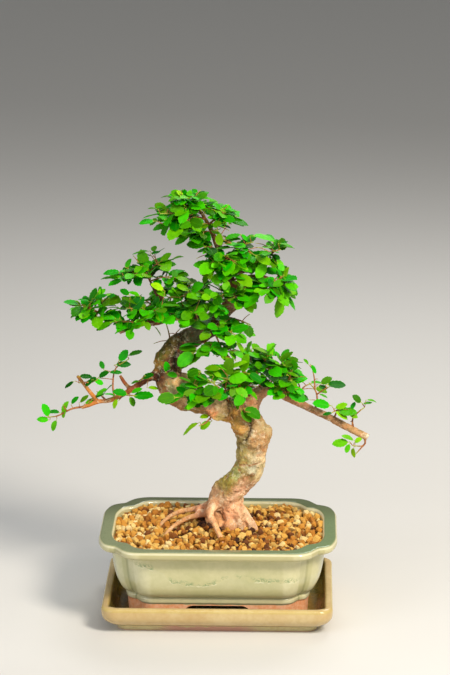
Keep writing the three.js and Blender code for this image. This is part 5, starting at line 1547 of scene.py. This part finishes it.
# what each dot of a shoot carries: name, kind, field, and the kind of number
dotMarks = [
    ("size", "FLOAT", "value", np.float32), ("turn", "QUATERNION", "value", np.float32),
    ("shape", "INT", "value", np.int32), ("isLeaf", "BOOLEAN", "value", bool),
    ("tint", "FLOAT", "value", np.float32), ("young", "FLOAT", "value", np.float32)]


def shootDots(number, entry):
    # a shoot as points with their marks: joined ones for its twigs, loose ones for its leaves
    name, route, leaves, forks = entry
    # one row of draws places the leaves as in the solids, the other those that only the scene has
    draw = drawer(shootSeeds["solids"][0] + shootSeeds["solids"][1] * number)
    look = drawer(shootSeeds["scene"][0] + shootSeeds["scene"][1] * number)
    dots, edges = [], []

    def addTwig(row, thick, thin):
        length = np.linalg.norm(np.diff(row, axis=0), axis=1).sum()
        steps = max(4, round(length / twigShape["step"]))
        for k in range(steps + 1):
            share = k / steps
            size = (thick + (thin - thick) * share) * mm
            dots.append((smoothCurve(row, share) * mm, size, (1.0, 0.0, 0.0, 0.0), 0, False, 0.5, share ** 2))
            if k:
                edges.append((len(dots) - 2, len(dots) - 1))

    def addLeaves(places, steady=False):
        for place in places:
            if (steady or not isBare(place)) and fitLeaf(place):
                shape, tint = int(look() * leafShape["variants"]), look()
                young = place["young"] * (1.3 if steady else 0.15 + 0.6 * look())
                turn = tuple(leafTurn(place))
                dots.append((place["spot"] * mm, place["size"], turn, shape, True, tint, young))

    rows = shootRoutes(route, forks)
    counts = [leaves] + [fork[4] for fork in forks]
    for n, (row, count) in enumerate(zip(rows, counts)):
        addTwig(row, *(twigShape["fork"] if n else twigShape["main"]))
        if name not in loneLeaves:
            addLeaves(leafPlaces(row, count, draw))
    if name in loneLeaves or name in edgeLeaves:
        places, stalks = setLeaves({**loneLeaves, **edgeLeaves}[name], rows, look)
        for stalk in stalks:
            addTwig(stalk, *leafShape["stalk"])
        addLeaves(places, True)
    if name not in loneLeaves and name not in leafShape["sparse"]:
        for row, count in zip(rows, counts):
            addLeaves(sideLeaves(row, count, look))
            for sprig in addSprigs(row, look):
                addTwig(sprig, *twigShape["sprig"])
                small = leafPlaces(sprig, leafShape["sprigLeaves"], look)
                for place in small:
                    place["size"] *= leafShape["sprigSize"]
                addLeaves(small)
    return dots, edges


def makeSpray(number, entry, group, values):
    dots, edges = shootDots(number, entry)
    points, *columns = zip(*dots)
    spray = meshObject("leafySpray_" + entry[0], points, edges=edges)
    for (label, kind, field, numpyKind), column in zip(dotMarks, columns):
        storeOn(spray.data, label, kind, column, field, numpyKind)
    runNodes(spray, group, values)
    for spare in ("size", "turn", "shape", "isLeaf"):
        if spare in spray.data.attributes:
            spray.data.attributes.remove(spray.data.attributes[spare])
    finishPiece(spray, None, "spray_" + entry[0])
    return sum(dot[4] for dot in dots), len(spray.data.polygons)


def makeFoliage():
    blades = bpy.data.collections.new("leafBlades")
    for n in range(leafShape["variants"]):
        blade = leafBlade(n)
        scene.collection.objects.unlink(blade)
        blades.objects.link(blade)
    group = sprayNodes()
    values = {"Leaves": blades, "Twig sides": twigShape["sides"], "Leaf": leafMaterial(),
              "Twig": twigMaterial()}
    made = [makeSpray(number, entry, group, values) for number, entry in enumerate(shoots)]
    dropGroup(blades)
    return np.array(made).sum(axis=0)


leafCount, leafFaces = makeFoliage()
print("foliage:", leafCount, "leaves,", leafFaces, "faces")
